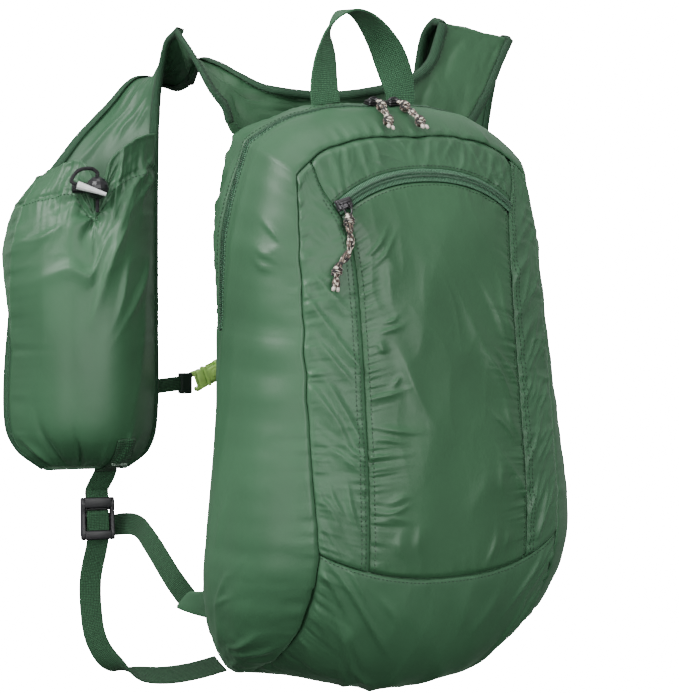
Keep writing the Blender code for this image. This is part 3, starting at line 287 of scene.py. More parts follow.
# the bag's own form
# Shares of these sizes, in metres; the rows match the CAD panels
bag = {
    "tall": 0.388, "deep": 0.115, "front": 0.098, "back": 0.096,
    "sideBulge": 0.038, "backBulge": 0.006, "topBulge": 0.38,
    "strapSpan": 0.100, "strapReach": 0.085,
}
hang = Vector((0, -0.0119, -0.394208))
sections = {
    # run, seam x, seam y, seam z, middle y, middle z, back x, back z, back middle z, bulge
    "side": (
        (0.00, 0.94, 0.73, 0.876, 0.725, 0.940, 0.870, 0.930, 0.966, 0.36),
        (0.12, 0.97, 0.80, 0.755, 0.950, 0.800, 1.000, 0.800, 0.815, 0.46),
        (0.25, 0.99, 0.86, 0.624, 1.030, 0.645, 0.965, 0.650, 0.650, 0.52),
        (0.40, 1.00, 0.92, 0.478, 1.090, 0.480, 0.940, 0.480, 0.480, 0.68),
        (0.52, 1.00, 0.97, 0.365, 1.130, 0.345, 0.940, 0.360, 0.355, 0.88),
        (0.63, 0.985, 1.00, 0.258, 1.120, 0.205, 0.970, 0.260, 0.250, 0.96),
        (0.72, 0.97, 0.92, 0.185, 1.020, 0.095, 1.000, 0.190, 0.170, 0.98),
        (0.80, 0.96, 0.77, 0.120, 0.840, 0.026, 0.990, 0.135, 0.110, 0.84),
        (0.88, 0.94, 0.56, 0.077, 0.580, 0.000, 0.960, 0.088, 0.060, 0.60),
        (0.94, 0.90, 0.32, 0.044, 0.310, 0.004, 0.910, 0.050, 0.030, 0.34),
        (1.00, 0.86, 0.035, 0.024, 0.006, 0.010, 0.860, 0.020, 0.012, 0.05),
    ),
    "pocketSeam": ((0.00, 0.88), (0.05, 0.82), (0.11, 0.70), (0.20, 0.645), (0.42, 0.64), (0.63, 0.66)),
    "zipPlace": ((0.00, 0.20), (0.22, 0.24), (0.34, 0.34), (0.50, 0.60), (0.66, 0.34), (0.78, 0.24), (1.00, 0.20)),
    # run, then x, y, z of the arm edge and of the neck edge
    "yoke": (
        (0.00, -1.010, 0.530, 1.124, -0.660, 0.960, 1.034),
        (0.08, -1.000, 0.300, 1.078, -0.740, 0.700, 1.072),
        (0.16, -0.970, 0.110, 1.021, -0.720, 0.480, 1.068),
        (0.25, -0.900, 0.055, 0.990, -0.620, 0.310, 1.046),
        (0.35, -0.780, 0.024, 0.938, -0.450, 0.210, 1.026),
        (0.50, 0.000, 0.024, 0.944, 0.000, 0.140, 1.016),
        (0.65, 0.800, 0.024, 0.934, 0.500, 0.200, 1.030),
        (0.76, 1.100, 0.050, 0.946, 0.780, 0.265, 1.050),
        (0.86, 1.380, 0.150, 1.014, 0.965, 0.330, 1.080),
        (0.93, 1.590, 0.280, 1.076, 1.070, 0.385, 1.122),
        (1.00, 1.745, 0.375, 1.118, 1.120, 0.412, 1.147),
    ),
    "leftStrap": (
        (0.00, -1.010, 0.536, 1.124, -0.660, 0.966, 1.034),
        (0.08, -0.990, 0.700, 1.104, -0.655, 1.180, 1.022),
        (0.16, -0.967, 0.820, 1.060, -0.730, 1.340, 1.032),
        (0.24, -0.958, 0.880, 1.020, -0.890, 1.420, 1.036),
        (0.32, -0.950, 0.915, 0.976, -1.080, 1.460, 0.990),
        (0.42, -0.948, 0.940, 0.915, -1.400, 1.465, 0.915),
        (0.55, -0.948, 0.960, 0.790, -1.760, 1.450, 0.792),
        (0.72, -0.945, 0.975, 0.600, -1.890, 1.420, 0.604),
        (0.86, -0.945, 0.990, 0.450, -1.935, 1.390, 0.452),
        (0.94, -1.000, 1.010, 0.390, -1.860, 1.365, 0.395),
        (1.00, -1.150, 1.070, 0.356, -1.680, 1.290, 0.356),
    ),
    "rightStrap": (
        (0.00, 1.752, 0.392, 1.120, 1.122, 0.430, 1.149),
        (0.06, 1.790, 0.530, 1.122, 1.140, 0.570, 1.152),
        (0.13, 1.830, 0.680, 1.090, 1.150, 0.740, 1.122),
        (0.22, 1.810, 0.770, 1.015, 1.140, 0.830, 1.036),
        (0.40, 1.740, 0.840, 0.850, 1.110, 0.900, 0.860),
        (0.60, 1.660, 0.900, 0.660, 1.080, 0.950, 0.664),
        (0.80, 1.580, 0.950, 0.500, 1.060, 0.990, 0.500),
        (0.92, 1.520, 0.980, 0.410, 1.080, 1.010, 0.410),
        (1.00, 1.440, 1.000, 0.366, 1.140, 1.020, 0.366),
    ),
    # across, height, stand-off of the strap pocket's mouth
    "mouth": (
        (0.00, 0.868, 0.08), (0.14, 0.884, 0.46), (0.34, 0.896, 0.72), (0.50, 0.846, 0.80),
        (0.62, 0.896, 0.74), (0.76, 0.925, 0.60), (0.90, 0.940, 0.34), (1.00, 0.944, 0.08),
    ),
    # height, then how full the strap pocket is there
    "fullness": (
        (0.00, 0.10), (0.06, 0.55), (0.16, 0.88), (0.34, 1.00), (0.60, 0.98), (0.82, 0.86), (0.93, 0.72), (1.00, 0.84),
    ),
}


@lru_cache(maxsize=None)
def reading(name, at):
    if name != "side":
        return between(name, at)
    evened = []  # long curves without a step at each row, the side's belly the most
    for most in (0.045, 0.16):
        reach = min(most, max(at, 0.0), max(1 - at, 0.0)) / 3
        near = [(weight, between(name, at + k * reach)) for k, weight in enumerate((1, 2, 3, 4, 3, 2, 1), -3)]
        evened.append([sum(weight * row[k] for weight, row in near) / 16 for k in range(len(near[0][1]))])
    return evened[0][:-1] + evened[1][-1:]


def between(name, at):
    rows = sections[name]
    at = min(max(at, rows[0][0]), rows[-1][0])
    i = 0
    while i < len(rows) - 2 and at > rows[i + 1][0]:
        i += 1
    span = rows[i + 1][0] - rows[i][0]
    t = (at - rows[i][0]) / span

    def slope(j, k):
        low, high = max(j - 1, 0), min(j + 1, len(rows) - 1)
        return span * (rows[high][k] - rows[low][k]) / (rows[high][0] - rows[low][0])

    return [
        rows[i][k] * (2 * t**3 - 3 * t**2 + 1) + slope(i, k) * (t**3 - 2 * t**2 + t)
        + rows[i + 1][k] * (3 * t**2 - 2 * t**3) + slope(i + 1, k) * (t**3 - t**2)
        for k in range(1, len(rows[0]))
    ]


def mix(a, b, t):
    return a + (b - a) * t


def clamp(value, low=0.0, high=1.0):
    return min(max(value, low), high)


def frontPoint(across, run):
    sx, sy, sz, my, mz = reading("side", run)[:5]
    crown, arch = abs(across) ** 2.4, abs(across) ** 3.5
    lift = mix(arch, crown, clamp(run / 0.2))
    spot = Vector((sx * bag["front"] * across, -mix(my, sy, crown) * bag["deep"], mix(mz, sz, lift) * bag["tall"]))
    nearTop = math.exp(-((run / 0.025) ** 2)) * (1 - across**6)  # the top seam wanders a little
    spot.z += 0.0016 * noise.noise(Vector((across * 5.5, 0.3, 2.0))) * nearTop
    beside = math.exp(-(((1 - abs(across)) / 0.06) ** 2)) * clamp(run / 0.05) * clamp((1 - run) / 0.05)
    spot.x += 0.0012 * noise.noise(Vector((run * 26, math.copysign(3, across), 1.0))) * beside
    return spot + hang


def backPoint(across, run):
    bx, bz, bmz = reading("side", run)[5:8]
    free = clamp((run - 0.14) / 0.86)
    hollow = bag["backBulge"] * (1 - across**2) * math.sin(math.pi * free) ** 2
    return Vector((bx * bag["back"] * across, hollow, mix(bmz, bz, abs(across) ** 2.4) * bag["tall"])) + hang


@lru_cache(maxsize=None)
def sideEdges(along):
    if along < 0.4:
        across, run = -1, 1 - along / 0.4
    elif along > 0.6:
        across, run = 1, 1 - (1 - along) / 0.4
    else:
        across, run = (along - 0.5) / 0.1, 0
    bulge = reading("side", run)[8] * bag["sideBulge"]
    if run == 0:
        bulge = mix(bag["topBulge"] * bag["sideBulge"], bulge, across**4)
    return backPoint(across, run), frontPoint(across, run), bulge


@lru_cache(maxsize=None)
def sideOutward(along):
    before, after = sideEdges(max(along - 0.035, 0)), sideEdges(min(along + 0.035, 1))
    tangent = (after[0] + after[1]) - (before[0] + before[1])
    return Vector((-tangent.z, 0, tangent.x)).normalized()


def sidePoint(along, across):
    back, front, bulge = sideEdges(along)
    return back.lerp(front, across) + sideOutward(along) * bulge * (1 - abs(2 * across - 1) ** 3)


def strapEdges(name, run):
    ax, ay, az, nx, ny, nz = reading(name, run)
    span, reach, tall = bag["strapSpan"], bag["strapReach"], bag["tall"]
    return Vector((ax * span, ay * reach, az * tall)) + hang, Vector((nx * span, ny * reach, nz * tall)) + hang


def strapPlace(name):
    def place(u, v):
        arm, neck = strapEdges(name, v)
        return arm.lerp(neck, u)

    return place


def strapOutward(name, run):
    arm, neck = strapEdges(name, run)
    aside = Vector((neck.x - arm.x, neck.y - arm.y, 0)).normalized()
    return aside, aside.cross(Vector((0, 0, -1)))


# folds, creases and gathers
def jitter(*seed):
    return noise.noise(Vector((seed[0] * 37.3, seed[1] * 51.7, sum(seed) * 11.9)))


def foldsAt(rows, x, y):
    total = 0.0  # x, y, heading, length, width, depth, count: metres on the cloth
    for atX, atY, heading, length, width, depth, count in rows:
        if (x - atX) ** 2 + (y - atY) ** 2 > (length + (count + 1) * width) ** 2:
            continue
        for n in range(count):
            j = jitter(atX * 9 + n, atY * 7 + n * 0.37, depth * 90)
            k = jitter(atY * 5 + n * 1.3, atX * 8 + n, width * 40)
            turned = math.radians(heading + 22 * j)
            c, s = math.cos(turned), math.sin(turned)
            reach, broad = length * (0.75 + 0.7 * k), width * (1 + 0.7 * j)
            down, aside = (x - atX) * c + (y - atY) * s - 0.4 * length * k, -(x - atX) * s + (y - atY) * c
            off = aside - (n - (count - 1) / 2) * (1.5 + 0.5 * k) * width
            off -= 0.35 * broad * math.sin(2.6 * down / reach + 5 * j)
            off /= broad * (0.34 if off > 0 else 0.60)  # steeper on one side
            if abs(off) < 3 and abs(down) < 1.2 * reach:
                total += depth * (1 + 0.5 * k) * math.exp(-abs(off) ** 1.6) * math.exp(-((1.9 * down / reach) ** 2))
    return total


def crumple(x, y, seed, heading=0.0, size=0.02, stretch=2.5):
    c, s = math.cos(math.radians(heading)), math.sin(math.radians(heading))
    a, b = (x * c + y * s) / (size * stretch), (-x * s + y * c) / size
    b += 0.45 * noise.noise(Vector((a * 0.9, b * 0.5, seed + 9.1)))
    ridge = max(0.0, 1 - 1.9 * abs(noise.noise(Vector((a, b, seed))))) ** 2
    place = clamp(0.5 + 2.2 * noise.noise(Vector((a * 0.5 + 7, b * 0.33, seed + 3.7))))
    return (ridge - 0.3) * place + 0.35 * noise.noise(Vector((a * 2.3, b * 2.1, seed + 1.9)))


def pucker(distance, along, seed, pitch=0.007, reach=0.009):
    if distance > 4 * reach:
        return 0.0
    local = reach * (1.0 + 0.8 * noise.noise(Vector((along / 0.022, seed * 3.1, 0.7))))
    bent = along + 0.25 * distance * noise.noise(Vector((along / 0.03, seed, 4.0)))
    n = noise.noise(Vector((bent / pitch, seed, distance / reach * 0.30)))
    n += 0.5 * noise.noise(Vector((bent / pitch * 2.1, seed + 5, 0.3)))
    strong = 0.55 + 0.9 * clamp(0.5 + 1.6 * noise.noise(Vector((along / 0.05, seed + 2, 1.1))))
    return strong * math.exp(-distance / max(local, 0.002)) * n


def seamDip(distance, deep=0.0013, reach=0.0022):
    return -deep * math.exp(-((distance / reach) ** 2))


# cloth
sheets = {}  # the finished surface of each panel, for what is sewn on it


def gridInto(shape, columns, rows, uvOf):
    uv = shape.loops.layers.uv.verify()
    made = bmesh.ops.create_grid(shape, x_segments=columns, y_segments=rows, size=0.5)["verts"]
    for face in {face for vertex in made for face in vertex.link_faces}:
        for loop in face.loops:
            loop[uv].uv = uvOf(loop.vert.co.x + 0.5, loop.vert.co.y + 0.5)
    return made


def cloth(name, node, look, columns, rows, place, size, relief, wall=0.0010, keep=None, grow=0.0014, flip=True):
    shape = bmesh.new()
    gridInto(shape, columns, rows, lambda u, v: (u * size[0], v * size[1]))
    shares = [(v.co.x + 0.5, v.co.y + 0.5) for v in shape.verts]
    if flip:
        bmesh.ops.reverse_faces(shape, faces=shape.faces)
    for vertex, (u, v) in zip(shape.verts, shares):
        vertex.co = place(u, v)
    shape.normal_update()
    normals = [v.normal.copy() for v in shape.verts]
    for vertex, (u, v), normal in zip(shape.verts, shares, normals):
        vertex.co += normal * (grow + relief(u, v))
    shape.normal_update()
    grid = {}
    for vertex, (u, v) in zip(shape.verts, shares):
        grid[round(u * columns), round(v * rows)] = (vertex.co.copy(), vertex.normal.copy())
    sheets[name] = (columns, rows, grid)
    if keep:
        spare = []
        for face in shape.faces:
            u = sum(shares[v.index][0] for v in face.verts) / len(face.verts)
            v = sum(shares[v.index][1] for v in face.verts) / len(face.verts)
            if not keep(u, v):
                spare.append(face)
        bmesh.ops.delete(shape, geom=spare, context="FACES")
    return finishPiece(name, shape, look, node, wall=wall)


def finishPiece(name, shape, look, nodes=None, wall=None, body="bag"):
    mesh = bpy.data.meshes.new(name)
    shape.to_mesh(mesh)
    shape.free()
    mesh.shade_smooth()
    piece = bpy.data.objects.new(name, mesh)
    bpy.context.scene.collection.objects.link(piece)
    mesh.materials.append(looks[look])
    if wall:
        thick = piece.modifiers.new("wall", "SOLIDIFY")
        thick.thickness, thick.offset = wall, -1.0
    nodes = [nodes] if isinstance(nodes, str) else (nodes or [])
    if nodes:
        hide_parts(*nodes)
    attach(piece, body)
    return piece


def onSheet(name, u, v):
    columns, rows, grid = sheets[name]
    x, y = clamp(u) * columns, clamp(v) * rows
    i, j = min(int(x), columns - 1), min(int(y), rows - 1)
    fx, fy = x - i, y - j
    spot, normal = Vector(), Vector()
    corners = ((0, 0, (1 - fx) * (1 - fy)), (1, 0, fx * (1 - fy)), (0, 1, (1 - fx) * fy), (1, 1, fx * fy))
    for di, dj, weight in corners:
        co, n = grid[i + di, j + dj]
        spot += co * weight
        normal += n * weight
    return spot, normal.normalized()


def placesAlong(path, pitch, first):
    travelled, wanted = 0.0, first  # path: (spot, normal) pairs
    for (a, na), (b, nb) in zip(path, path[1:]):
        step = (b - a).length
        while step and wanted <= travelled + step:
            t = (wanted - travelled) / step
            way, up = (b - a).normalized(), na.lerp(nb, t).normalized()
            yield a.lerp(b, t), way, up.cross(way).normalized(), up
            wanted += pitch
        travelled += step


def beadInto(shape, spot, halves):
    turned = Matrix(halves).transposed().to_4x4()
    turned.translation = spot
    bmesh.ops.create_icosphere(shape, subdivisions=1, radius=1.0, matrix=turned)


def stitchLine(shape, path, pitch=0.0030, length=0.0022, radius=0.00034, lift=0.00015):
    for spot, way, aside, up in placesAlong(path, pitch, pitch / 2):
        beadInto(shape, spot + up * lift, (way * length / 2, aside * radius, up * radius))


def sewn(name, lines, look="thread", slot="gusset", **settings):
    shape = bmesh.new()
    for path in lines:
        stitchLine(shape, path, **settings)
    return finishPiece(name, shape, look)


def sheetPath(name, points, steps=160):
    path = []
    for n in range(steps + 1):
        at = n / steps * (len(points) - 1)
        i = min(int(at), len(points) - 2)
        a, b = points[i], points[i + 1]
        path.append(onSheet(name, mix(a[0], b[0], at - i), mix(a[1], b[1], at - i)))
    return path


# front of the bag
front = {"smile": 0.63, "zipRun": 0.057, "zipDrop": 0.030, "zipHalf": 0.00933, "gap": 0.0006}


def pocketEdge(run):
    return reading("pocketSeam", run)[0]


def zipRun(across):
    return front["zipRun"] + front["zipDrop"] * across**2


def stripPlace(side):
    def place(u, v):
        run = mix(0, front["smile"] - front["gap"], v)
        edge = pocketEdge(run)
        return frontPoint(side * mix(edge + 0.0015, 0.9995, u), run)

    return place


stripFolds = {
    "left": (
        (0.014, 0.075, 96, 0.060, 0.0080, 0.0014, 2), (0.020, 0.125, 112, 0.080, 0.0090, 0.0022, 2),
        (0.012, 0.175, 114, 0.070, 0.0070, 0.0018, 2),
        (0.022, 0.215, 104, 0.070, 0.0070, 0.0020, 2), (0.012, 0.262, 122, 0.045, 0.0060, 0.0016, 2),
        (0.020, 0.310, 108, 0.050, 0.0065, 0.0018, 3),
    ),
    "right": (
        (0.022, 0.060, 118, 0.045, 0.0060, 0.0014, 3), (0.016, 0.110, 122, 0.050, 0.0055, 0.0018, 3),
        (0.020, 0.165, 116, 0.045, 0.0050, 0.0020, 4),
        (0.016, 0.215, 108, 0.045, 0.0050, 0.0022, 4), (0.020, 0.262, 118, 0.040, 0.0045, 0.0020, 4),
        (0.016, 0.310, 112, 0.045, 0.0045, 0.0020, 4),
    ),
}
for side, word in ((-1, "left"), (1, "right")):
    heading = 110 if side < 0 else 118

    def stripRelief(u, v, side=side, word=word, heading=heading):
        width, tall = 0.037, 0.355
        x, y = u * width, v * tall
        inner, outer = u * width, (1 - u) * width
        d = foldsAt(stripFolds[word], x, y)
        d += 0.0011 * crumple(x, y, 3 + side, heading, 0.009, 3.0) * (0.5 if side < 0 else 1.0)
        d += 0.0013 * pucker(inner, y, 11 + side, 0.0062, 0.007) + 0.0015 * pucker(outer, y, 15 + side, 0.0075, 0.008)
        d *= clamp(min(inner, outer, y, tall - y) / 0.003)
        d += seamDip(inner, 0.0010) + seamDip(outer, 0.0008, 0.0016)
        return d + seamDip(tall - y, 0.0010) + seamDip(y, 0.0020, 0.003)

    cloth(
        f"frontStrip.{word}", f"front_strip_{word}", "body", 34, 300, stripPlace(side), (0.037, 0.355), stripRelief,
        flip=side > 0,
    )


def pocketPanel(first, last):
    def place(u, v):
        across = 2 * u - 1
        low, high = first(across), last(across)
        run = mix(low, high, v)
        return frontPoint(across * (pocketEdge(run) - 0.0008), run)

    return place


upperFolds = (
    (0.016, 0.012, 100, 0.030, 0.0055, 0.0022, 2), (0.034, 0.012, 84, 0.028, 0.0060, 0.0022, 3),
    (0.062, 0.010, 66, 0.026, 0.0060, 0.0018, 2),
    (0.085, 0.012, 100, 0.030, 0.0070, 0.0020, 3), (0.112, 0.014, 110, 0.030, 0.0055, 0.0022, 3),
    (0.135, 0.016, 118, 0.030, 0.0050, 0.0020, 3),
    (0.148, 0.022, 130, 0.026, 0.0045, 0.0016, 2), (0.048, 0.024, 40, 0.024, 0.0045, 0.0012, 2),
)


def upperRelief(u, v):
    width, tall = 0.155, 0.034
    x, y = u * width, v * tall
    d = 0.5 * foldsAt(upperFolds, x, y)
    d += 0.0011 * pucker(y, x, 21, 0.0085, 0.011) + 0.0008 * pucker(tall - y, x, 23, 0.006, 0.006)
    d += 0.0010 * crumple(x, y, 5, 80, 0.010, 2.4)
    d *= clamp(min(x, width - x, y, tall - y) / 0.003)
    return d + seamDip(y, 0.0026, 0.0034) + seamDip(tall - y, 0.0006) + seamDip(min(x, width - x), 0.0012)


cloth(
    "frontUpper", "front_upper", "body", 160, 34,
    pocketPanel(lambda a: 0.0, lambda a: zipRun(a) - front["zipHalf"] - 0.0005), (0.155, 0.034), upperRelief,
)

pocketFolds = (
    # by the left seam, then the broad ones of the middle and those of the right
    (0.018, 0.038, 150, 0.026, 0.0060, 0.0014, 2), (0.022, 0.070, 74, 0.060, 0.0110, 0.0018, 1),
    (0.016, 0.100, 160, 0.024, 0.0055, 0.0016, 2),
    (0.020, 0.118, 20, 0.030, 0.0075, 0.0022, 1), (0.030, 0.140, 62, 0.050, 0.0110, 0.0018, 1),
    (0.014, 0.150, 170, 0.026, 0.0060, 0.0016, 2),
    (0.014, 0.190, 8, 0.026, 0.0060, 0.0012, 2), (0.016, 0.250, 172, 0.024, 0.0055, 0.0014, 3),
    (0.062, 0.080, 96, 0.130, 0.0300, 0.0014, 1),
    (0.092, 0.120, 84, 0.120, 0.0240, 0.0016, 1), (0.113, 0.090, 70, 0.060, 0.0100, 0.0020, 2),
    (0.112, 0.145, 58, 0.050, 0.0080, 0.0020, 2),
    (0.114, 0.190, 66, 0.045, 0.0075, 0.0020, 2), (0.050, 0.210, 90, 0.150, 0.0340, 0.0012, 1),
    (0.112, 0.240, 74, 0.060, 0.0085, 0.0016, 2),
    (0.084, 0.255, 92, 0.080, 0.0200, 0.0012, 1), (0.030, 0.276, 70, 0.030, 0.0090, 0.0012, 2),
    (0.100, 0.282, 108, 0.030, 0.0080, 0.0012, 2),
)


def pocketRelief(u, v):
    width, tall = 0.128, 0.300
    x, y = u * width, v * tall
    beside = min(x, width - x)
    d = foldsAt(pocketFolds, x, y)
    d += 0.0017 * pucker(beside, y, 31 if x < width / 2 else 35, 0.0055, 0.008)
    d += 0.0013 * pucker(y, x, 33, 0.007, 0.009) + 0.0010 * pucker(tall - y, x, 37, 0.009, 0.008)
    d += 0.0007 * crumple(x, y, 8, 84, 0.022, 3.0) * clamp(1.2 - y / tall)
    d += 0.0014 * noise.noise(Vector((x / 0.05, y / 0.08, 4.4)))
    d *= clamp(min(beside, y, tall - y) / 0.003)
    return d + seamDip(beside, 0.0014) + seamDip(y, 0.0010) + seamDip(tall - y, 0.0018)


cloth(
    "frontPocket", "front_pocket", "deep", 130, 300,
    pocketPanel(lambda a: zipRun(a) + front["zipHalf"] + 0.0005, lambda a: front["smile"] - front["gap"]),
    (0.128, 0.300), pocketRelief,
)


def basePlace(u, v):
    return frontPoint((2 * u - 1) * 0.997, mix(front["smile"] + front["gap"], 0.999, v))


baseFolds = (
    (0.018, 0.020, 50, 0.050, 0.0070, 0.0020, 3), (0.178, 0.022, 128, 0.050, 0.0065, 0.0022, 3),
    (0.060, 0.030, 70, 0.050, 0.0120, 0.0014, 2),
    (0.120, 0.034, 104, 0.060, 0.0140, 0.0014, 2), (0.024, 0.070, 62, 0.060, 0.0080, 0.0022, 3),
    (0.172, 0.070, 118, 0.060, 0.0075, 0.0024, 3),
    (0.095, 0.110, 84, 0.080, 0.0180, 0.0018, 2), (0.050, 0.120, 60, 0.060, 0.0100, 0.0018, 2),
    (0.150, 0.120, 120, 0.060, 0.0100, 0.0018, 2),
)


def baseRelief(u, v):
    width, tall = 0.196, 0.208
    x, y = u * width, v * tall
    beside = min(x, width - x)
    d = foldsAt(baseFolds, x, y)
    d += 0.0016 * pucker(beside, y, 41, 0.008, 0.011) + 0.0009 * pucker(y, x, 43, 0.008, 0.006)
    d += 0.0010 * crumple(x, y, 6, 84, 0.024, 2.4) * clamp(y / 0.04)
    d *= clamp(min(beside, y, tall - y) / 0.004)
    return d + seamDip(beside, 0.0012) + seamDip(y, 0.0008)


cloth("bottomPanel", "bottom_panel", "body", 140, 130, basePlace, (0.196, 0.208), baseRelief)
print("front sewn")

# sides and top, with the slot of the main zip
side = {"slotFrom": 0.2902, "lowRows": 20, "highRows": 46, "endColumns": 150, "slotColumns": 210, "zip": 0.0085}
sideColumns = 2 * side["endColumns"] + side["slotColumns"]
sideRows = side["lowRows"] + 1 + side["highRows"]


def panelDepth(along):
    back, front_, bulge = sideEdges(along)
    return (front_ - back).length + 2.2 * bulge


def zipShares(along):
    middle, half = reading("zipPlace", along)[0], side["zip"] / 2 / panelDepth(along)
    return middle - half, middle + half


def alongAt(u):
    column = u * sideColumns
    ends, slot = side["endColumns"], side["slotColumns"]
    if column <= ends:
        return round(mix(0.0062, side["slotFrom"], column / ends), 7)
    if column <= ends + slot:
        return round(mix(side["slotFrom"], 1 - side["slotFrom"], (column - ends) / slot), 7)
    return round(mix(1 - side["slotFrom"], 0.9938, (column - ends - slot) / ends), 7)


def acrossAt(along, v):
    level = v * sideRows
    low, high = zipShares(along)
    beside = 0.0002 / panelDepth(along)
    edge = 0.0012 / panelDepth(along) if min(along, 1 - along) < 0.12 else 0.0002 / panelDepth(along)
    if level <= side["lowRows"]:
        return mix(edge, low - beside, level / side["lowRows"])
    if level <= side["lowRows"] + 1:
        return mix(low - beside, high + beside, level - side["lowRows"])
    return mix(high + beside, 1 - edge, (level - side["lowRows"] - 1) / side["highRows"])


def sidePlace(u, v):
    along = alongAt(u)
    return sidePoint(along, acrossAt(along, v))


sideFolds = (
    # x from the back seam, y along the panel from its lower left end: on the left
    (0.104, 0.060, 24, 0.050, 0.0070, 0.0022, 3), (0.100, 0.112, 36, 0.046, 0.0065, 0.0016, 2),
    (0.070, 0.085, 62, 0.080, 0.0170, 0.0018, 1),
    (0.045, 0.330, 84, 0.160, 0.0150, 0.0016, 2), (0.070, 0.260, 90, 0.200, 0.0400, 0.0014, 1),
    (0.090, 0.170, 56, 0.070, 0.0140, 0.0012, 1), (0.108, 0.350, 160, 0.022, 0.0042, 0.0012, 4),
    # over the top
    (0.056, 0.462, 20, 0.040, 0.0090, 0.0014, 2), (0.066, 0.520, 164, 0.040, 0.0080, 0.0014, 2),
    (0.062, 0.560, 12, 0.040, 0.0080, 0.0012, 2),
    # on the right
    (0.104, 0.945, 156, 0.050, 0.0070, 0.0022, 3), (0.100, 0.890, 144, 0.046, 0.0065, 0.0016, 2),
    (0.108, 0.660, 20, 0.022, 0.0045, 0.0012, 4),
    (0.070, 0.750, 92, 0.200, 0.0400, 0.0014, 1), (0.110, 0.800, 30, 0.030, 0.0060, 0.0016, 3),
)
sideLength = 1.0088


def sideRelief(u, v):
    along = alongAt(u)
    across = acrossAt(along, v)
    deep = panelDepth(along)
    x, y = across * deep, along * sideLength
    low, high = zipShares(along)
    inSlot = side["slotFrom"] < along < 1 - side["slotFrom"]
    toFront, toBack = (1 - across) * deep, across * deep
    d = foldsAt(sideFolds, x, y)
    seed = 50 if along < 0.5 else 60
    over = clamp((0.12 - abs(along - 0.5)) / 0.03)
    d += 0.0012 * pucker(toFront, y, seed, 0.007, 0.007) * (1 + over)
    d += 0.0014 * pucker(toBack, y, seed + 1, 0.010, 0.010)
    d += 0.0010 * noise.noise(Vector((x / 0.05, y / 0.10, 7.7)))
    if inSlot:
        behind = clamp((low - across) * deep / 0.006)
        top = clamp((0.07 - abs(abs(along - 0.5) - 0.13)) / 0.03)
        lumps = 0.0030 * noise.noise(Vector((x / 0.016, y / 0.020, 2.2))) * (0.30 + top)
        d += behind * (0.0018 * crumple(x, y, 12, 10, 0.011, 2.0) + lumps)
        edge = min(abs(across - low), abs(across - high)) * deep
        d = d * clamp(edge / 0.004) - 0.0002
        d += 0.0005 * math.exp(-(((edge - 0.0016) / 0.0012) ** 2))
    d += 0.0012 * crumple(x, y, 14, 30, 0.014, 2.2) * clamp((0.16 - min(along, 1 - along)) / 0.1)
    d *= clamp(min(toFront, toBack) / 0.003)
    return d + seamDip(toFront, mix(0.0007, 0.0014, over), 0.0016) + seamDip(toBack, 0.0010)


def isSideCloth(u, v):
    column, level = u * sideColumns - side["endColumns"], v * sideRows - side["lowRows"]
    return not (0 < column < side["slotColumns"] and 0 < level < 1)


cloth(
    "sidePanel", "gusset", "side", sideColumns, sideRows, sidePlace, (sideLength, 0.14), sideRelief, keep=isSideCloth,
)


def backRelief(u, v):
    x, y = u * 0.18, v * 0.37
    beside = min(x, 0.18 - x, y, 0.37 - y)
    d = 0.0010 * crumple(x, y, 17, 84, 0.030, 2.2) + 0.0008 * pucker(beside, x + y, 19, 0.009, 0.009)
    return (d * clamp(beside / 0.004)) + seamDip(beside, 0.0010)


def backPlace(u, v):
    return backPoint((2 * u - 1) * 0.997, mix(0.0005, 0.999, v))


cloth("backPanel", "back_panel", "deep", 70, 130, backPlace, (0.18, 0.37), backRelief, flip=False)

def liner(name, rows):
    shape = bmesh.new()  # the bound seam allowance behind a seam
    bmesh.ops.create_grid(shape, x_segments=2, y_segments=len(rows) - 1, size=0.5)
    for vertex in shape.verts:
        vertex.co = rows[round((vertex.co.y + 0.5) * (len(rows) - 1))][round(vertex.co.x * 2) + 1]
    finishPiece(name, shape, "deep", wall=0.0004)


def inwards(spot, by=0.0030):
    middle = Vector((0, hang.y - 0.055, clamp(spot.z, hang.z + 0.08, hang.z + 0.28)))
    return (middle - spot).normalized() * by


frontRows, backRows = [], []
for n in range(241):
    along = mix(0.004, 0.996, n / 240)
    if along < 0.4:
        across, run = -1, 1 - along / 0.4
    elif along > 0.6:
        across, run = 1, 1 - (1 - along) / 0.4
    else:
        across, run = (along - 0.5) / 0.1, 0
    inner, lower = (((across * 0.95, run),) * 2) if run else ((across * 0.97, 0.012), (across * 0.97, 0.02))
    seam, seamBack = sidePoint(along, 1.0), sidePoint(along, 0.0)
    frontRows.append([spot + inwards(seam) for spot in (sidePoint(along, 0.955), seam, frontPoint(*inner))])
    backRows.append([spot + inwards(seamBack) for spot in (sidePoint(along, 0.045), seamBack, backPoint(*lower))])
liner("seamAllowance.front", frontRows)
liner("seamAllowance.back", backRows)
for word, edge in (("left", 0.0), ("right", 1.0)):
    rows = []
    for n in range(81):
        spot, normal = onSheet("frontPocket", edge, n / 80)
        a, b = onSheet("frontPocket", abs(edge - 0.04), n / 80)[0], spot
        rows.append([a - normal * 0.0026, b - normal * 0.0026, b + (b - a) - normal * 0.0026])
    liner(f"seamAllowance.{word}", rows)
rows = []
for n in range(81):
    spot, normal = onSheet("bottomPanel", n / 80, 0.0)
    a = onSheet("bottomPanel", n / 80, 0.03)[0]
    rows.append([a - normal * 0.0026, spot - normal * 0.0026, spot + (spot - a) - normal * 0.0026])
liner("seamAllowance.lower", rows)
print("sides, top and back sewn")

# zips
zips = {"coil": 0.0040, "main": 0.0085, "pocket": 0.0105}


def zipRelief(width, across):
    off = abs(across - 0.5) * width
    ridge = 0.0005 * clamp((zips["coil"] / 2 - off) / 0.0006)
    return ridge - 0.0009 * math.exp(-((off / 0.0004) ** 2)) - 0.0004 * clamp((off - width / 2 + 0.0010) / 0.0010)


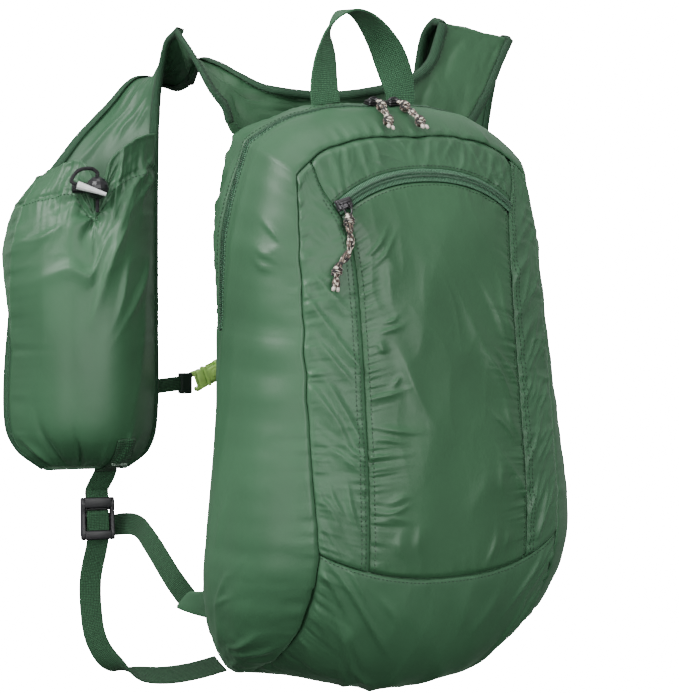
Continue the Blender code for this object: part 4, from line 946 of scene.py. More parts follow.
def mainZipPlace(u, v):
    along = round(mix(side["slotFrom"] + 0.0006, 1 - side["slotFrom"] - 0.0006, u), 7)
    low, high = zipShares(along)
    return sidePoint(along, mix(low, high, v))


cloth(
    "mainZip", "main_zip", "zip", 300, 16, mainZipPlace, (0.42, 0.0085),
    lambda u, v: zipRelief(zips["main"], v), wall=0.0012, grow=0.0013,
)
cloth(
    "pocketZip", "pocket_zip", "zip", 130, 18,
    pocketPanel(lambda a: zipRun(a) - front["zipHalf"], lambda a: zipRun(a) + front["zipHalf"]), (0.135, 0.0105),
    lambda u, v: zipRelief(zips["pocket"], v), wall=0.0012, grow=0.0014,
)
for made in ("mainZip", "pocketZip"):
    piece = bpy.data.objects[made]
    for loop in piece.data.uv_layers[0].data:
        loop.uv = (loop.uv.y, loop.uv.x)  # ribs run across the tape

tooth = {"pitch": 0.0012, "half": 0.00042, "lift": 0.0012}


def coilTeeth(name, width):
    shape = bmesh.new()
    path = sheetPath(name, [(u / 40, 0.5) for u in range(41)], 400)
    for row in (-1, 1):
        for spot, way, aside, up in placesAlong(path, tooth["pitch"], tooth["pitch"] * (0.5 + 0.25 * row)):
            spot += aside * row * width * 0.25 + up * tooth["lift"]
            beadInto(shape, spot, (way * tooth["half"], aside * width * 0.27, up * tooth["half"]))
    return finishPiece(name + "Coil", shape, "coil")


coilTeeth("mainZip", 0.0042)
coilTeeth("pocketZip", 0.0046)

threadLines = []
for word in ("left", "right"):
    name = f"frontStrip.{word}"
    threadLines.append(sheetPath(name, [(0.085, v / 20) for v in range(21)]))
    threadLines.append(sheetPath(name, [(0.17, v / 20) for v in range(2, 21)]))
threadLines.append(sheetPath("frontPocket", [(u / 20, 0.009) for u in range(21)]))
threadLines.append(sheetPath("frontUpper", [(u / 20, 0.93) for u in range(21)]))
for u in (0.025, 0.975):
    threadLines.append(sheetPath("frontPocket", [(u, v / 20) for v in range(21)]))
threadLines.append(sheetPath("bottomPanel", [(u / 20, 0.012) for u in range(21)]))
slotU = side["endColumns"] / sideColumns
for level in (side["lowRows"] - 1.4, side["lowRows"] + 1.9):
    points = [(mix(slotU, 1 - slotU, n / 60), level / sideRows) for n in range(61)]
    threadLines.append(sheetPath("sidePanel", points, 700))
sewn("seamStitches", threadLines, slot="front_pocket")
print("zips and seam stitches made")

# yoke and straps
yokeFolds = (
    (0.036, 0.062, 82, 0.060, 0.0080, 0.0022, 2), (0.024, 0.120, 96, 0.050, 0.0100, 0.0028, 2),
    (0.036, 0.170, 84, 0.050, 0.0090, 0.0026, 2),
    (0.030, 0.235, 96, 0.050, 0.0090, 0.0024, 2), (0.024, 0.300, 84, 0.060, 0.0110, 0.0020, 2),
    (0.034, 0.360, 92, 0.050, 0.0100, 0.0018, 1),
)


def yokeRelief(u, v):
    x, y = u * 0.05, v * 0.40
    d = foldsAt(yokeFolds, x, y) + 0.0009 * crumple(x, y, 22, 84, 0.012, 3.0)
    d += 0.0014 * pucker(x, y, 24, 0.009, 0.008)
    return d * clamp(min(x, 0.05 - x) / 0.004)


strapFolds = {
    "left": (
        (0.030, 0.140, 60, 0.050, 0.0080, 0.0022, 2), (0.050, 0.160, 66, 0.050, 0.0090, 0.0020, 2),
        (0.060, 0.120, 80, 0.060, 0.0090, 0.0018, 2),
        (0.030, 0.060, 84, 0.070, 0.0100, 0.0020, 2), (0.060, 0.030, 96, 0.050, 0.0090, 0.0018, 2),
    ),
    "right": (
        (0.020, 0.030, 96, 0.060, 0.0100, 0.0016, 1), (0.040, 0.070, 84, 0.080, 0.0120, 0.0018, 1),
        (0.026, 0.150, 92, 0.120, 0.0160, 0.0014, 1),
        (0.036, 0.260, 88, 0.120, 0.0150, 0.0014, 1),
    ),
}


def strapRelief(word, width, tall):
    def relief(u, v):
        x, y = u * width, v * tall
        beside = min(x, width - x)
        d = foldsAt(strapFolds[word], x, y) + 0.0008 * crumple(x, y, len(word), 88, 0.016, 3.4)
        d += 0.0012 * pucker(beside, y, 27 + len(word), 0.009, 0.007)
        d += 0.0014 * noise.noise(Vector((x / 0.03, y / 0.07, len(word))))
        return d * clamp(beside / 0.004)

    return relief


cloth(
    "shoulderYoke", "shoulder_yoke", "yoke", 36, 200, strapPlace("yoke"), (0.05, 0.40), yokeRelief,
    wall=0.0012, flip=False,
)
for word, columns, rows, width, tall, across in (("left", 44, 220, 0.10, 0.42, 0.09), ("right", 32, 170, 0.06, 0.38, 0.06)):
    cloth(
        f"strap.{word}", f"strap_{word}", "pale", columns, rows, strapPlace(f"{word}Strap"), (width, tall),
        strapRelief(word, across, tall), wall=0.0020, grow=0.0021, flip=False,
    )

binding = {"width": 0.0058, "thick": 0.0011, "wall": 0.0005}


def bindingStrip(name, table, low, high, edge, wallThick, steps=120):
    profile = (
        (0.95, 1.0), (0.5, 1.15), (0.06, 1.1), (-0.12, 0.4), (-0.12, -0.4), (0.06, -1.1), (0.5, -1.15), (0.95, -1.0),
    )
    shape = bmesh.new()
    gridInto(shape, len(profile) - 1, steps, lambda u, v: (u * 0.012, v * 0.42))
    for vertex in shape.verts:
        a, b = profile[round((vertex.co.x + 0.5) * (len(profile) - 1))]
        n = round((vertex.co.y + 0.5) * steps)
        run = mix(low, high, n / steps)
        here, before, after = (strapEdges(table, clamp(run + s)) for s in (0, -0.004, 0.004))
        way = (after[edge] - before[edge]).normalized()
        inward = here[1 - edge] - here[edge]
        inward = (inward - way * inward.dot(way)).normalized()
        up = (here[1] - here[0]).cross(after[edge] - before[edge]).normalized()
        up = (up - way * up.dot(way)).normalized()
        swell = (1 + 0.12 * noise.noise(Vector((n * 0.35, len(name), 0)))) * min(1, 0.45 + n / 5, 0.45 + (steps - n) / 5)
        lift = wallThick / 2 + (wallThick / 2 + binding["thick"] * 0.8) * b * swell
        vertex.co = here[edge] + inward * binding["width"] * a + up * lift
    bmesh.ops.recalc_face_normals(shape, faces=shape.faces)
    return finishPiece(name, shape, "binding", wall=binding["wall"])


for name, table, low, high, edge, slot, thick in (
    ("yokeBinding.neck", "yoke", 0.0, 1.0, 1, "shoulder_yoke", 0.0016),
    ("yokeBinding.left", "yoke", 0.0, 0.30, 0, "shoulder_yoke", 0.0016),
    ("yokeBinding.right", "yoke", 0.74, 1.0, 0, "shoulder_yoke", 0.0016),
    ("strapBinding.leftArm", "leftStrap", 0.0, 0.995, 0, "strap_left", 0.0024),
    ("strapBinding.leftNeck", "leftStrap", 0.0, 0.995, 1, "strap_left", 0.0024),
    ("strapBinding.rightArm", "rightStrap", 0.0, 0.995, 0, "strap_right", 0.0024),
    ("strapBinding.rightNeck", "rightStrap", 0.0, 0.995, 1, "strap_right", 0.0024),
):
    bindingStrip(name, table, low, high, edge, thick)
print("yoke and straps sewn")

# strap pocket
pocket = {
    "shoulder": 0.013, "space": 0.036, "margin": 0.03, "fromRun": 0.985, "toRun": 0.47, "off": 0.0039, "hem": 0.90,
    "toggleX": 0.062, "toggleY": 0.196,
}


def strapPocketPoint(u, v):
    height, mouthOff = reading("mouth", u)
    run = mix(pocket["fromRun"], pocket["toRun"], v)
    arm, neck = strapEdges("leftStrap", run)
    out = strapOutward("leftStrap", run)[1]
    spot = neck.lerp(arm, mix(pocket["margin"], 1 - pocket["margin"], u))
    low = strapEdges("leftStrap", pocket["fromRun"])[0].z
    high = strapEdges("leftStrap", pocket["toRun"])[0].z
    spot.z = mix(low, height * bag["tall"] + hang.z, (spot.z - low) / (high - low))
    full = reading("fullness", v)[0]
    stand = mix((1 - abs(2 * u - 1) ** 2.6) * full, mouthOff, max(0, (v - 0.75) / 0.25) ** 2)
    shoulder = pocket["shoulder"] * clamp(1 - u / 0.30) ** 1.5 * clamp((v - 0.45) / 0.30)
    shoulder *= 1 - 0.35 * clamp((v - 0.9) / 0.1)
    aside = strapOutward("leftStrap", run)[0]
    stand = max(stand, 0.25 * shoulder / pocket["shoulder"])
    return spot + aside * shoulder + out * (pocket["off"] + pocket["space"] * stand)


strapPocketFolds = (
    # x from the outer side, y up from the bottom: pleats at the bottom, then the folds under the toggle
    (0.030, 0.014, 100, 0.045, 0.0060, -0.0026, 1), (0.050, 0.018, 94, 0.060, 0.0060, -0.0030, 1),
    (0.078, 0.014, 84, 0.045, 0.0070, 0.0022, 1),
    (0.098, 0.016, 70, 0.050, 0.0080, 0.0028, 2), (0.014, 0.014, 112, 0.045, 0.0080, 0.0028, 1),
    (0.050, 0.152, 22, 0.060, 0.0130, 0.0034, 1),
    (0.030, 0.170, 14, 0.046, 0.0090, 0.0022, 1), (0.082, 0.146, 40, 0.060, 0.0110, 0.0034, 1),
    (0.092, 0.166, 52, 0.056, 0.0090, 0.0036, 1),
    (0.100, 0.130, 56, 0.050, 0.0090, 0.0024, 2), (0.086, 0.190, 68, 0.040, 0.0060, 0.0030, 1),
    (0.108, 0.186, 30, 0.030, 0.0060, 0.0020, 2),
    (0.106, 0.090, 78, 0.080, 0.0120, 0.0014, 1), (0.020, 0.110, 80, 0.080, 0.0200, 0.0012, 1),
)


def strapPocketRelief(u, v):
    width, tall = 0.125, 0.215
    x, y = u * width, v * tall
    beside = min(x, width - x)
    d = foldsAt(strapPocketFolds, x, y)
    d += 0.0018 * pucker(y, x, 71, 0.0075, 0.011) + 0.0016 * pucker(beside, y, 73, 0.010, 0.008)
    hem = pocket["hem"] * tall
    d += 0.0024 * pucker(abs(y - hem), x, 75, 0.006, 0.008) + 0.0016 * pucker(tall - y, x, 77, 0.007, 0.008)
    offX, offY = x - pocket["toggleX"], y - pocket["toggleY"]
    fromToggle, heading = math.hypot(offX, offY), math.atan2(offY, offX)  # gathers run out from the toggle
    gather = noise.noise(Vector((heading * 3.4, fromToggle / 0.05, 5.1)))
    d += 0.0046 * math.exp(-((fromToggle / 0.034) ** 2)) * clamp(fromToggle / 0.008) * gather
    d += 0.0008 * crumple(x, y, 18, 30, 0.016, 2.4) * clamp((y - 0.11) / 0.06)
    d *= clamp(min(beside, y) / 0.005)
    rolled = 0.0011 * math.exp(-(((tall - y) / 0.0018) ** 2))
    return d + seamDip(abs(y - hem), 0.0014, 0.0014) + rolled


cloth(
    "strapPocket", "strap_pocket", "side", 140, 190, strapPocketPoint, (0.125, 0.215), strapPocketRelief,
    wall=0.0012, grow=0.0008, flip=False,
)
pocketThread = [
    sheetPath("strapPocket", [(u / 20, pocket["hem"] - 0.012) for u in range(1, 20)]),
    sheetPath("strapPocket", [(0.62, v / 20) for v in range(19, 21)]),
]
sewn("hemStitches", pocketThread, slot="strap_pocket", pitch=0.0026, length=0.0018)
strapThread = []
for name in ("strap.left", "strap.right"):
    for u in (0.075, 0.925):
        strapThread.append(sheetPath(name, [(u, v / 30) for v in range(31)], 300))
for u in (0.12, 0.88):
    strapThread.append(sheetPath("shoulderYoke", [(u, v / 30) for v in range(31)], 260))
# the straps and the yoke are seen from behind too
strapThread += [[(spot - normal * 0.0020, -normal) for spot, normal in path] for path in strapThread]
sewn("strapStitches", strapThread, slot="strap_left", lift=0.0006)
crossSeam = sheetPath("shoulderYoke", [(u / 10, 0.955 + 0.004 * math.sin(u * 1.9)) for u in range(11)], 60)
sewn(
    "yokeCrossSeam", [crossSeam, [(p + n * 0.0002, n) for p, n in crossSeam]], slot="shoulder_yoke",
    pitch=0.0022, length=0.0024, radius=0.0005, lift=0.0004,
)
print("strap pocket sewn")


# webbing
def smoothLine(points, steps):
    spans = [(b[0] - a[0]).length for a, b in zip(points, points[1:])]
    line = []
    for i, span in enumerate(spans):
        before, after = points[max(i - 1, 0)], points[min(i + 2, len(points) - 1)]
        beforeSpan = spans[i - 1] if i else 0
        afterSpan = spans[i + 1] if i + 1 < len(spans) else 0
        for n in range(steps + (i == len(spans) - 1)):
            t = n / steps
            made = []
            for far, a, b, to in zip(before, points[i], points[i + 1], after):
                leave, arrive = (b - far) * (span / (span + beforeSpan)), (to - a) * (span / (span + afterSpan))
                made.append(
                    a * (2 * t**3 - 3 * t**2 + 1) + leave * (t**3 - 2 * t**2 + t)
                    + b * (3 * t**2 - 2 * t**3) + arrive * (t**3 - t**2)
                )
            line.append(made)
    return line


def ribbon(name, node, look, route, width, thick, steps, columns=8):
    points = [(Vector(row[:3]) / 1000, Vector(row[3:])) for row in route]  # millimetres, then the way of the width
    line = smoothLine(points, steps)
    lengths = [0.0]
    for a, b in zip(line, line[1:]):
        lengths.append(lengths[-1] + (b[0] - a[0]).length)
    shape = bmesh.new()
    gridInto(shape, columns, len(line) - 1, lambda u, v: ((u - 0.5) * width, lengths[round(v * (len(line) - 1))]))
    for vertex in shape.verts:
        share, n = vertex.co.x, round((vertex.co.y + 0.5) * (len(line) - 1))
        spot, aside = line[n]
        forward = (line[min(n + 1, len(line) - 1)][0] - line[max(n - 1, 0)][0]).normalized()
        square = (aside - forward * aside.dot(forward)).normalized()
        vertex.co = spot + square * width * share
    piece = finishPiece(name, shape, look, node)
    thickness = piece.modifiers.new("wall", "SOLIDIFY")
    thickness.thickness, thickness.offset = thick, 0.0
    worn = piece.modifiers.new("wornEdge", "BEVEL")
    worn.width, worn.segments, worn.limit_method, worn.angle_limit = thick * 0.3, 2, "ANGLE", math.radians(50)
    return piece


handleRoute = (
    (-30.4, -39.4, -8.4, 1.0, 0.0, 0.0), (-31.7, -39.4, 4.0, 1.0, 0.07, 0.0),
    (-30.4, -39.4, 22.6, 0.94, 0.34, 0.0), (-26.8, -39.4, 41.2, 0.62, 0.79, 0.0),
    (-14.1, -39.4, 53.6, 0.1, 0.99, 0.0), (-0.0, -39.4, 50.5, -0.14, 0.99, 0.0),
    (15.8, -39.4, 33.8, -0.56, 0.83, 0.0), (26.2, -39.4, 13.9, -0.91, 0.41, 0.0),
    (30.4, -39.4, 0.3, -1.0, 0.07, 0.0), (30.4, -39.4, -8.4, -1.0, 0.0, 0.0),
)
ribbon("carryHandle", "grab_handle", "handle", handleRoute, 0.0230, 0.0015, 12)
strapWebbing = {
    "left": (
        (-127.7, 84.5, -243.1, -0.94, 0.33, 0.0), (-127.7, 84.5, -257.1, -0.94, 0.33, 0.0),
        (-133.2, 88.5, -271.6, -0.94, 0.33, 0.0),
        (-133.2, 88.5, -275.6, -0.94, 0.33, 0.0), (-133.2, 88.5, -277.3, -0.94, 0.33, 0.0),
        (-133.2, 88.3, -279.2, -0.94, 0.33, 0.0),
        (-133.6, 87.2, -280.0, -0.94, 0.33, 0.0), (-134.1, 85.8, -280.3, -0.94, 0.33, 0.0),
        (-134.6, 84.4, -280.0, -0.94, 0.33, 0.0),
        (-135.0, 83.3, -279.2, -0.94, 0.33, 0.0), (-135.1, 83.1, -277.3, -0.94, 0.33, 0.0),
        (-135.1, 83.1, -275.6, -0.94, 0.33, 0.0),
        (-134.6, 84.3, -270.6, -0.94, 0.33, 0.0),
    ),
    "right": (
        (129.1, 74.9, -239.2, 1.0, -0.06, 0.0), (129.1, 74.9, -253.2, 1.0, -0.06, 0.0),
        (129.2, 76.8, -267.7, 1.0, -0.06, 0.0),
        (129.2, 76.8, -271.7, 1.0, -0.06, 0.0), (129.2, 76.8, -273.4, 1.0, -0.06, 0.0),
        (129.1, 76.6, -275.3, 1.0, -0.06, 0.0),
        (129.1, 75.4, -276.1, 1.0, -0.06, 0.0), (129.0, 74.0, -276.4, 1.0, -0.06, 0.0),
        (128.9, 72.5, -276.1, 1.0, -0.06, 0.0),
        (128.9, 71.3, -275.3, 1.0, -0.06, 0.0), (128.8, 71.1, -273.4, 1.0, -0.06, 0.0),
        (128.8, 71.1, -271.7, 1.0, -0.06, 0.0),
        (128.9, 72.4, -266.7, 1.0, -0.06, 0.0),
    ),
}
adjuster = {
    "left": (
        (-104.3, 17.1, -339.6, -0.35, 0.55, -0.75), (-110.5, 26.3, -325.9, -0.3, 0.51, -0.81),
        (-113.5, 49.3, -304.2, -0.25, 0.45, -0.86),
        (-112.0, 71.4, -294.9, -0.15, 0.3, -0.94), (-119.0, 92.6, -297.2, -0.43, 0.0, -0.9),
        (-127.6, 95.2, -302.1, -0.84, 0.3, -0.45),
        (-132.1, 91.6, -297.1, -0.94, 0.33, 0.0), (-133.0, 88.9, -292.1, -0.94, 0.33, 0.0),
        (-133.2, 88.5, -287.8, -0.94, 0.33, 0.0),
        (-133.2, 88.3, -285.9, -0.94, 0.33, 0.0), (-133.6, 87.2, -285.1, -0.94, 0.33, 0.0),
        (-134.1, 85.8, -284.8, -0.94, 0.33, 0.0),
        (-134.6, 84.4, -285.1, -0.94, 0.33, 0.0), (-135.0, 83.3, -285.9, -0.94, 0.33, 0.0),
        (-135.1, 83.1, -287.8, -0.94, 0.33, 0.0),
        (-135.1, 83.1, -290.1, -0.94, 0.33, 0.0), (-135.1, 83.1, -304.6, -0.94, 0.33, 0.0),
        (-138.5, 87.5, -332.1, -0.92, 0.4, 0.0),
        (-138.5, 85.9, -359.3, -0.92, 0.4, 0.0), (-136.0, 83.3, -374.8, -0.9, 0.42, 0.1),
        (-128.0, 80.7, -388.0, -0.86, 0.46, 0.2),
        (-113.0, 78.2, -397.3, -0.78, 0.49, 0.39), (-90.0, 76.5, -402.0, -0.58, 0.58, 0.58),
        (-62.0, 79.9, -402.7, -0.4, 0.7, 0.6),
        (-34.0, 85.9, -400.8, -0.3, 0.75, 0.59),
    ),
    "right": (
        (104.3, 17.1, -339.6, 0.35, 0.55, -0.75), (110.5, 26.3, -325.9, 0.3, 0.51, -0.81),
        (113.5, 49.3, -304.2, 0.25, 0.45, -0.86),
        (112.0, 71.4, -294.9, 0.15, 0.3, -0.94), (119.0, 92.6, -297.2, 0.43, 0.0, -0.9),
        (126.7, 85.1, -298.2, 0.89, -0.05, -0.45),
        (129.4, 80.1, -293.2, 1.0, -0.06, 0.0), (129.2, 77.2, -288.2, 1.0, -0.06, 0.0),
        (129.2, 76.8, -283.9, 1.0, -0.06, 0.0),
        (129.1, 76.6, -282.0, 1.0, -0.06, 0.0), (129.1, 75.4, -281.2, 1.0, -0.06, 0.0),
        (129.0, 74.0, -280.9, 1.0, -0.06, 0.0),
        (128.9, 72.5, -281.2, 1.0, -0.06, 0.0), (128.9, 71.3, -282.0, 1.0, -0.06, 0.0),
        (128.8, 71.1, -283.9, 1.0, -0.06, 0.0),
        (128.8, 71.1, -286.2, 1.0, -0.06, 0.0), (128.8, 71.1, -300.7, 1.0, -0.06, 0.0),
        (130.0, 73.1, -332.1, 1.0, 0.05, 0.0),
        (131.0, 73.1, -359.3, 1.0, 0.05, 0.0), (129.0, 74.8, -378.7, 0.99, 0.1, 0.0),
        (120.0, 77.3, -392.7, 0.93, 0.31, 0.21),
        (102.0, 78.2, -399.6, 0.83, 0.47, 0.31), (82.0, 79.9, -401.2, 0.75, 0.59, 0.32),
    ),
}
for word in ("left", "right"):
    ribbon(f"strapWebbing.{word}", f"strap_webbing_{word}", "webbing", strapWebbing[word], 0.0150, 0.0013, 8)
    ribbon(f"adjusterWebbing.{word}", f"adjuster_webbing_{word}", "webbing", adjuster[word], 0.0150, 0.0013, 8)
sternumLeft = (
    (-100.2, 75.0, -201.9, 0.0, 0.0, 1.0), (-88.2, 74.8, -200.6, 0.0, 0.0, 1.0),
    (-75.3, 74.6, -199.8, -0.36, 0.01, 0.93), (-64.3, 74.5, -199.8, -0.36, 0.01, 0.93),
)
sternumRight = (
    (-39.4, 74.1, -190.2, -0.36, 0.01, 0.93), (-34.7, 74.0, -188.4, -0.36, 0.01, 0.93),
    (-8.3, 73.7, -177.1, 0.0, 0.0, 1.0), (22.5, 73.2, -167.4, 0.0, 0.0, 1.0),
    (53.3, 72.8, -158.2, 0.0, 0.0, 1.0), (84.1, 72.3, -149.2, 0.0, 0.0, 1.0), (114.9, 71.9, -140.2, 0.0, 0.0, 1.0),
)
# the webbing's end in front of the strap pocket's bottom, and its bartack
tab = {"way": Vector((-0.94, 0.33, 0)), "end": Vector((-0.1283, 0.0827, -0.2572)), "width": 0.015, "rows": 18, "free": 6}


def tabSheet(u, v):
    return onSheet("strapPocket", u, v)


tab["u"] = min((n / 60 for n in range(61)), key=lambda u: (tabSheet(u, 0.02)[0].xy - Vector((-0.1277, 0.0845))).length)
tabTurn = math.copysign(1, (tabSheet(tab["u"] + 0.05, 0.02)[0] - tabSheet(tab["u"] - 0.05, 0.02)[0]).dot(tab["way"]))
shape = bmesh.new()
gridInto(shape, 10, tab["rows"], lambda u, v: ((u - 0.5) * tab["width"], (v - 0.5) * 0.024))
for vertex in shape.verts:
    share, n = vertex.co.x, round((vertex.co.y + 0.5) * tab["rows"])
    spot, normal = tabSheet(tab["u"] + tabTurn * share * 0.13, max(n - tab["free"], 0) / 12 * 0.15)
    below = tab["end"] + tab["way"] * share * tab["width"]
    vertex.co = (spot + normal * 0.0014).lerp(below, clamp((tab["free"] - n) / tab["free"]))
finishPiece("webbingTab", shape, "webbing", wall=0.0009)
spot, normal = tabSheet(tab["u"], 0.05)
bar = [(spot + normal * 0.0026 + tab["way"] * (n / 10 - 0.5) * 0.011, normal) for n in range(11)]
sewn(
    "bartack", [bar, [(p + Vector((0, 0, 0.0009)), n) for p, n in bar]], look="paleThread", slot="strap_webbing_left",
    pitch=0.0012, length=0.0015, radius=0.00035,
)
ribbon("sternumWebbing.left", "sternum_webbing_left", "webbing", sternumLeft, 0.0100, 0.0013, 10)
ribbon("sternumWebbing.right", "sternum_webbing_right", "webbing", sternumRight, 0.0100, 0.0013, 10)
print("webbing made")


# cords
def tubeInto(shape, path, radius, sides=10):
    lengths, frames, up = [0.0], [], Vector((0.31, 0.17, 0.93))
    for n, spot in enumerate(path):
        way = (path[min(n + 1, len(path) - 1)] - path[max(n - 1, 0)]).normalized()
        up = (up - way * up.dot(way)).normalized()
        frames.append((up.copy(), way.cross(up)))
        if n:
            lengths.append(lengths[-1] + (spot - path[n - 1]).length)
    last = len(path) - 1
    made = gridInto(shape, sides, last, lambda u, v: (u * 2 * math.pi * radius, lengths[round(v * last)]))
    for vertex in made:
        turned, n = 2 * math.pi * (vertex.co.x + 0.5), round((vertex.co.y + 0.5) * last)
        reach = radius * (0.72 if n in (0, last) else 1.0)
        vertex.co = path[n] + (frames[n][0] * math.cos(turned) + frames[n][1] * math.sin(turned)) * reach
    bmesh.ops.remove_doubles(shape, verts=made, dist=radius * 0.01)
    bmesh.ops.holes_fill(shape, edges=[e for e in shape.edges if e.is_boundary], sides=0)


pulls = {
    "main_pull_left": ((-8.3, -69.2, -7.1), (-14.7, -84.5, -13.8), (-21.0, -99.4, -22.9)),
    "main_pull_right": ((8.3, -69.2, -7.1), (7.2, -84.4, -13.7), (6.0, -99.3, -22.7)),
    "pocket_pull": (
        (-65.9, -116.2, -78.8), (-67.3, -119.0, -87.6), (-67.5, -120.7, -97.3), (-70.7, -121.2, -105.1),
        (-76.9, -120.7, -111.9),
        (-78.4, -120.5, -118.6), (-78.9, -120.7, -125.0),
    ),
}
pullKnots = {"main_pull_left": (0.20, 0.82), "main_pull_right": (0.20, 0.84), "pocket_pull": (0.10, 0.80)}
for node, route in pulls.items():
    width = 0.0052
    line = [spot for (spot,) in smoothLine([(Vector(p) / 1000,) for p in route], 16)]
    lengths = [0.0]
    for a, b in zip(line, line[1:]):
        lengths.append(lengths[-1] + (b - a).length)
    whole = lengths[-1]
    shape = bmesh.new()
    for phase in (0.0, math.pi):
        strand = []
        up = Vector((0, -1, 0.4))
        for n, spot in enumerate(line):
            way = (line[min(n + 1, len(line) - 1)] - line[max(n - 1, 0)]).normalized()
            up = (up - way * up.dot(way)).normalized()
            angle = phase + 2 * math.pi * lengths[n] / 0.020
            strand.append(spot + (up * math.sin(angle) * 0.6 + way.cross(up) * math.cos(angle)) * width * 0.26)
        tubeInto(shape, strand, width * 0.27)
    for at in pullKnots[node]:
        n = min(range(len(lengths)), key=lambda i: abs(lengths[i] - at * whole))
        way = (line[min(n + 2, len(line) - 1)] - line[max(n - 2, 0)]).normalized()
        up = Vector((0, -1, 0.4))
        up = (up - way * up.dot(way)).normalized()
        wrap = []
        for k in range(34):
            angle, slide = 2 * math.pi * k / 16, (k / 33 - 0.5) * 0.0044
            wrap.append(line[n] + way * slide + (up * math.sin(angle) + way.cross(up) * math.cos(angle)) * 0.0024)
        tubeInto(shape, wrap, width * 0.25)
    bmesh.ops.recalc_face_normals(shape, faces=shape.faces)
    name = node.replace("_pull", "Pull").replace("_", ".")
    piece = finishPiece(name, shape, "paracord", node)
    shape = bmesh.new()
    for turned in (-1, 1):  # the two melted ends below the knot
        start = line[-1] - way * 0.0004 + way.cross(up) * turned * width * 0.24
        step = way * 0.0011 + way.cross(up) * turned * 0.0002
        tubeInto(shape, [start + step * k for k in range(4)], width * 0.25)
    bmesh.ops.recalc_face_normals(shape, faces=shape.faces)
    tips = finishPiece(name + ".tips", shape, "tips")

drawRoute = (
    (-149.4, 56.8, -80.4), (-148.9, 57.4, -75.9), (-148.9, 57.4, -72.4), (-148.9, 57.4, -55.8),
    (-148.9, 57.4, -53.8), (-153.3, 58.1, -51.1),
    (-162.7, 58.7, -52.5), (-168.6, 57.7, -59.2), (-165.9, 55.7, -61.7),
)
drawLine = [spot for (spot,) in smoothLine([(Vector(p) / 1000,) for p in drawRoute], 10)]
shape = bmesh.new()
tubeInto(shape, drawLine, 0.0013, 12)
bmesh.ops.recalc_face_normals(shape, faces=shape.faces)
drawcord = finishPiece("pocketDrawcord", shape, "elastic", "drawcord")
print("cords laid")

# hard pieces
def seat(x, z):
    x, z = Vector(x).normalized(), Vector(z).normalized()  # the way of the width and the way up
    return x, z.cross(x).normalized(), z


def rounded(shape, made, round_):
    edges = list({edge for vertex in made for edge in vertex.link_edges})
    bmesh.ops.bevel(
        shape, geom=edges, offset=round_ / 1000, offset_type="OFFSET", segments=3, profile=0.5, affect="EDGES",
        material=-1, clamp_overlap=True,
    )


def blockInto(shape, centre, axes, at, size, round_):
    turned = Matrix([axis * (length / 1000) for axis, length in zip(axes, size)]).transposed().to_4x4()
    turned.translation = centre + sum((axis * (way / 1000) for axis, way in zip(axes, at)), Vector())
    rounded(shape, bmesh.ops.create_cube(shape, size=1.0, matrix=turned)["verts"], round_)


def plateInto(shape, centre, axes, outline, start, thick, round_):
    made = [shape.verts.new(centre + (axes[0] * start + axes[1] * y + axes[2] * z) / 1000) for y, z in outline]
    moved = bmesh.ops.extrude_face_region(shape, geom=[shape.faces.new(made)])["geom"]
    moved = [item for item in moved if isinstance(item, bmesh.types.BMVert)]
    bmesh.ops.translate(shape, verts=moved, vec=axes[0] * thick / 1000)
    rounded(shape, made + moved, round_)


def ringInto(shape, centre, along, across, radius, steps=28, sides=8):
    turns = [2 * math.pi * k / steps for k in range(steps + 1)]
    tubeInto(shape, [centre + along * math.cos(turn) + across * math.sin(turn) for turn in turns], radius, sides)


locks = {
    "left": ((-134.1, 85.8, -290.1), (-0.94, 0.33, 0)),
    "right": ((129.0, 74.0, -286.2), (-1, 0.06, 0)),
    "flank": (
        (-1.5, 13.6), (0.6, 14.7), (3.8, 13.8), (4.9, 10.5), (4.4, 4.0), (5.0, -4.0),
        (6.4, -9.5), (6.2, -13.4), (4.0, -14.7), (0.4, -14.2), (-1.5, -11.0),
    ),
    "bars": (
        # place and size along the width, the depth and the height
        ((0, 4.1, 11.1), (19.0, 1.8, 7.2), 0.8), ((0, 0.0, 13.0), (19.0, 2.9, 2.8), 0.7),
        ((0, 0.4, 2.0), (19.0, 2.6, 2.8), 0.8), ((0, 1.0, 6.5), (19.0, 1.6, 1.3), 0.5),
        ((0, 5.2, -11.0), (19.0, 2.3, 6.4), 1.0), ((0, 0.0, -13.0), (19.0, 2.9, 2.8), 0.8),
    ),
}
for word in ("left", "right"):
    centre, axes = Vector(locks[word][0]) / 1000, seat(locks[word][1], (0, 0, 1))
    shape = bmesh.new()
    for start in (-11.5, 8.6):
        plateInto(shape, centre, axes, locks["flank"], start, 2.9, 0.7)
    for at, size, round_ in locks["bars"]:
        blockInto(shape, centre, axes, at, size, round_)
    bmesh.ops.recalc_face_normals(shape, faces=shape.faces)
    finishPiece(f"ladderLock.{word}", shape, "lockBlack", f"ladder_lock_{word}")

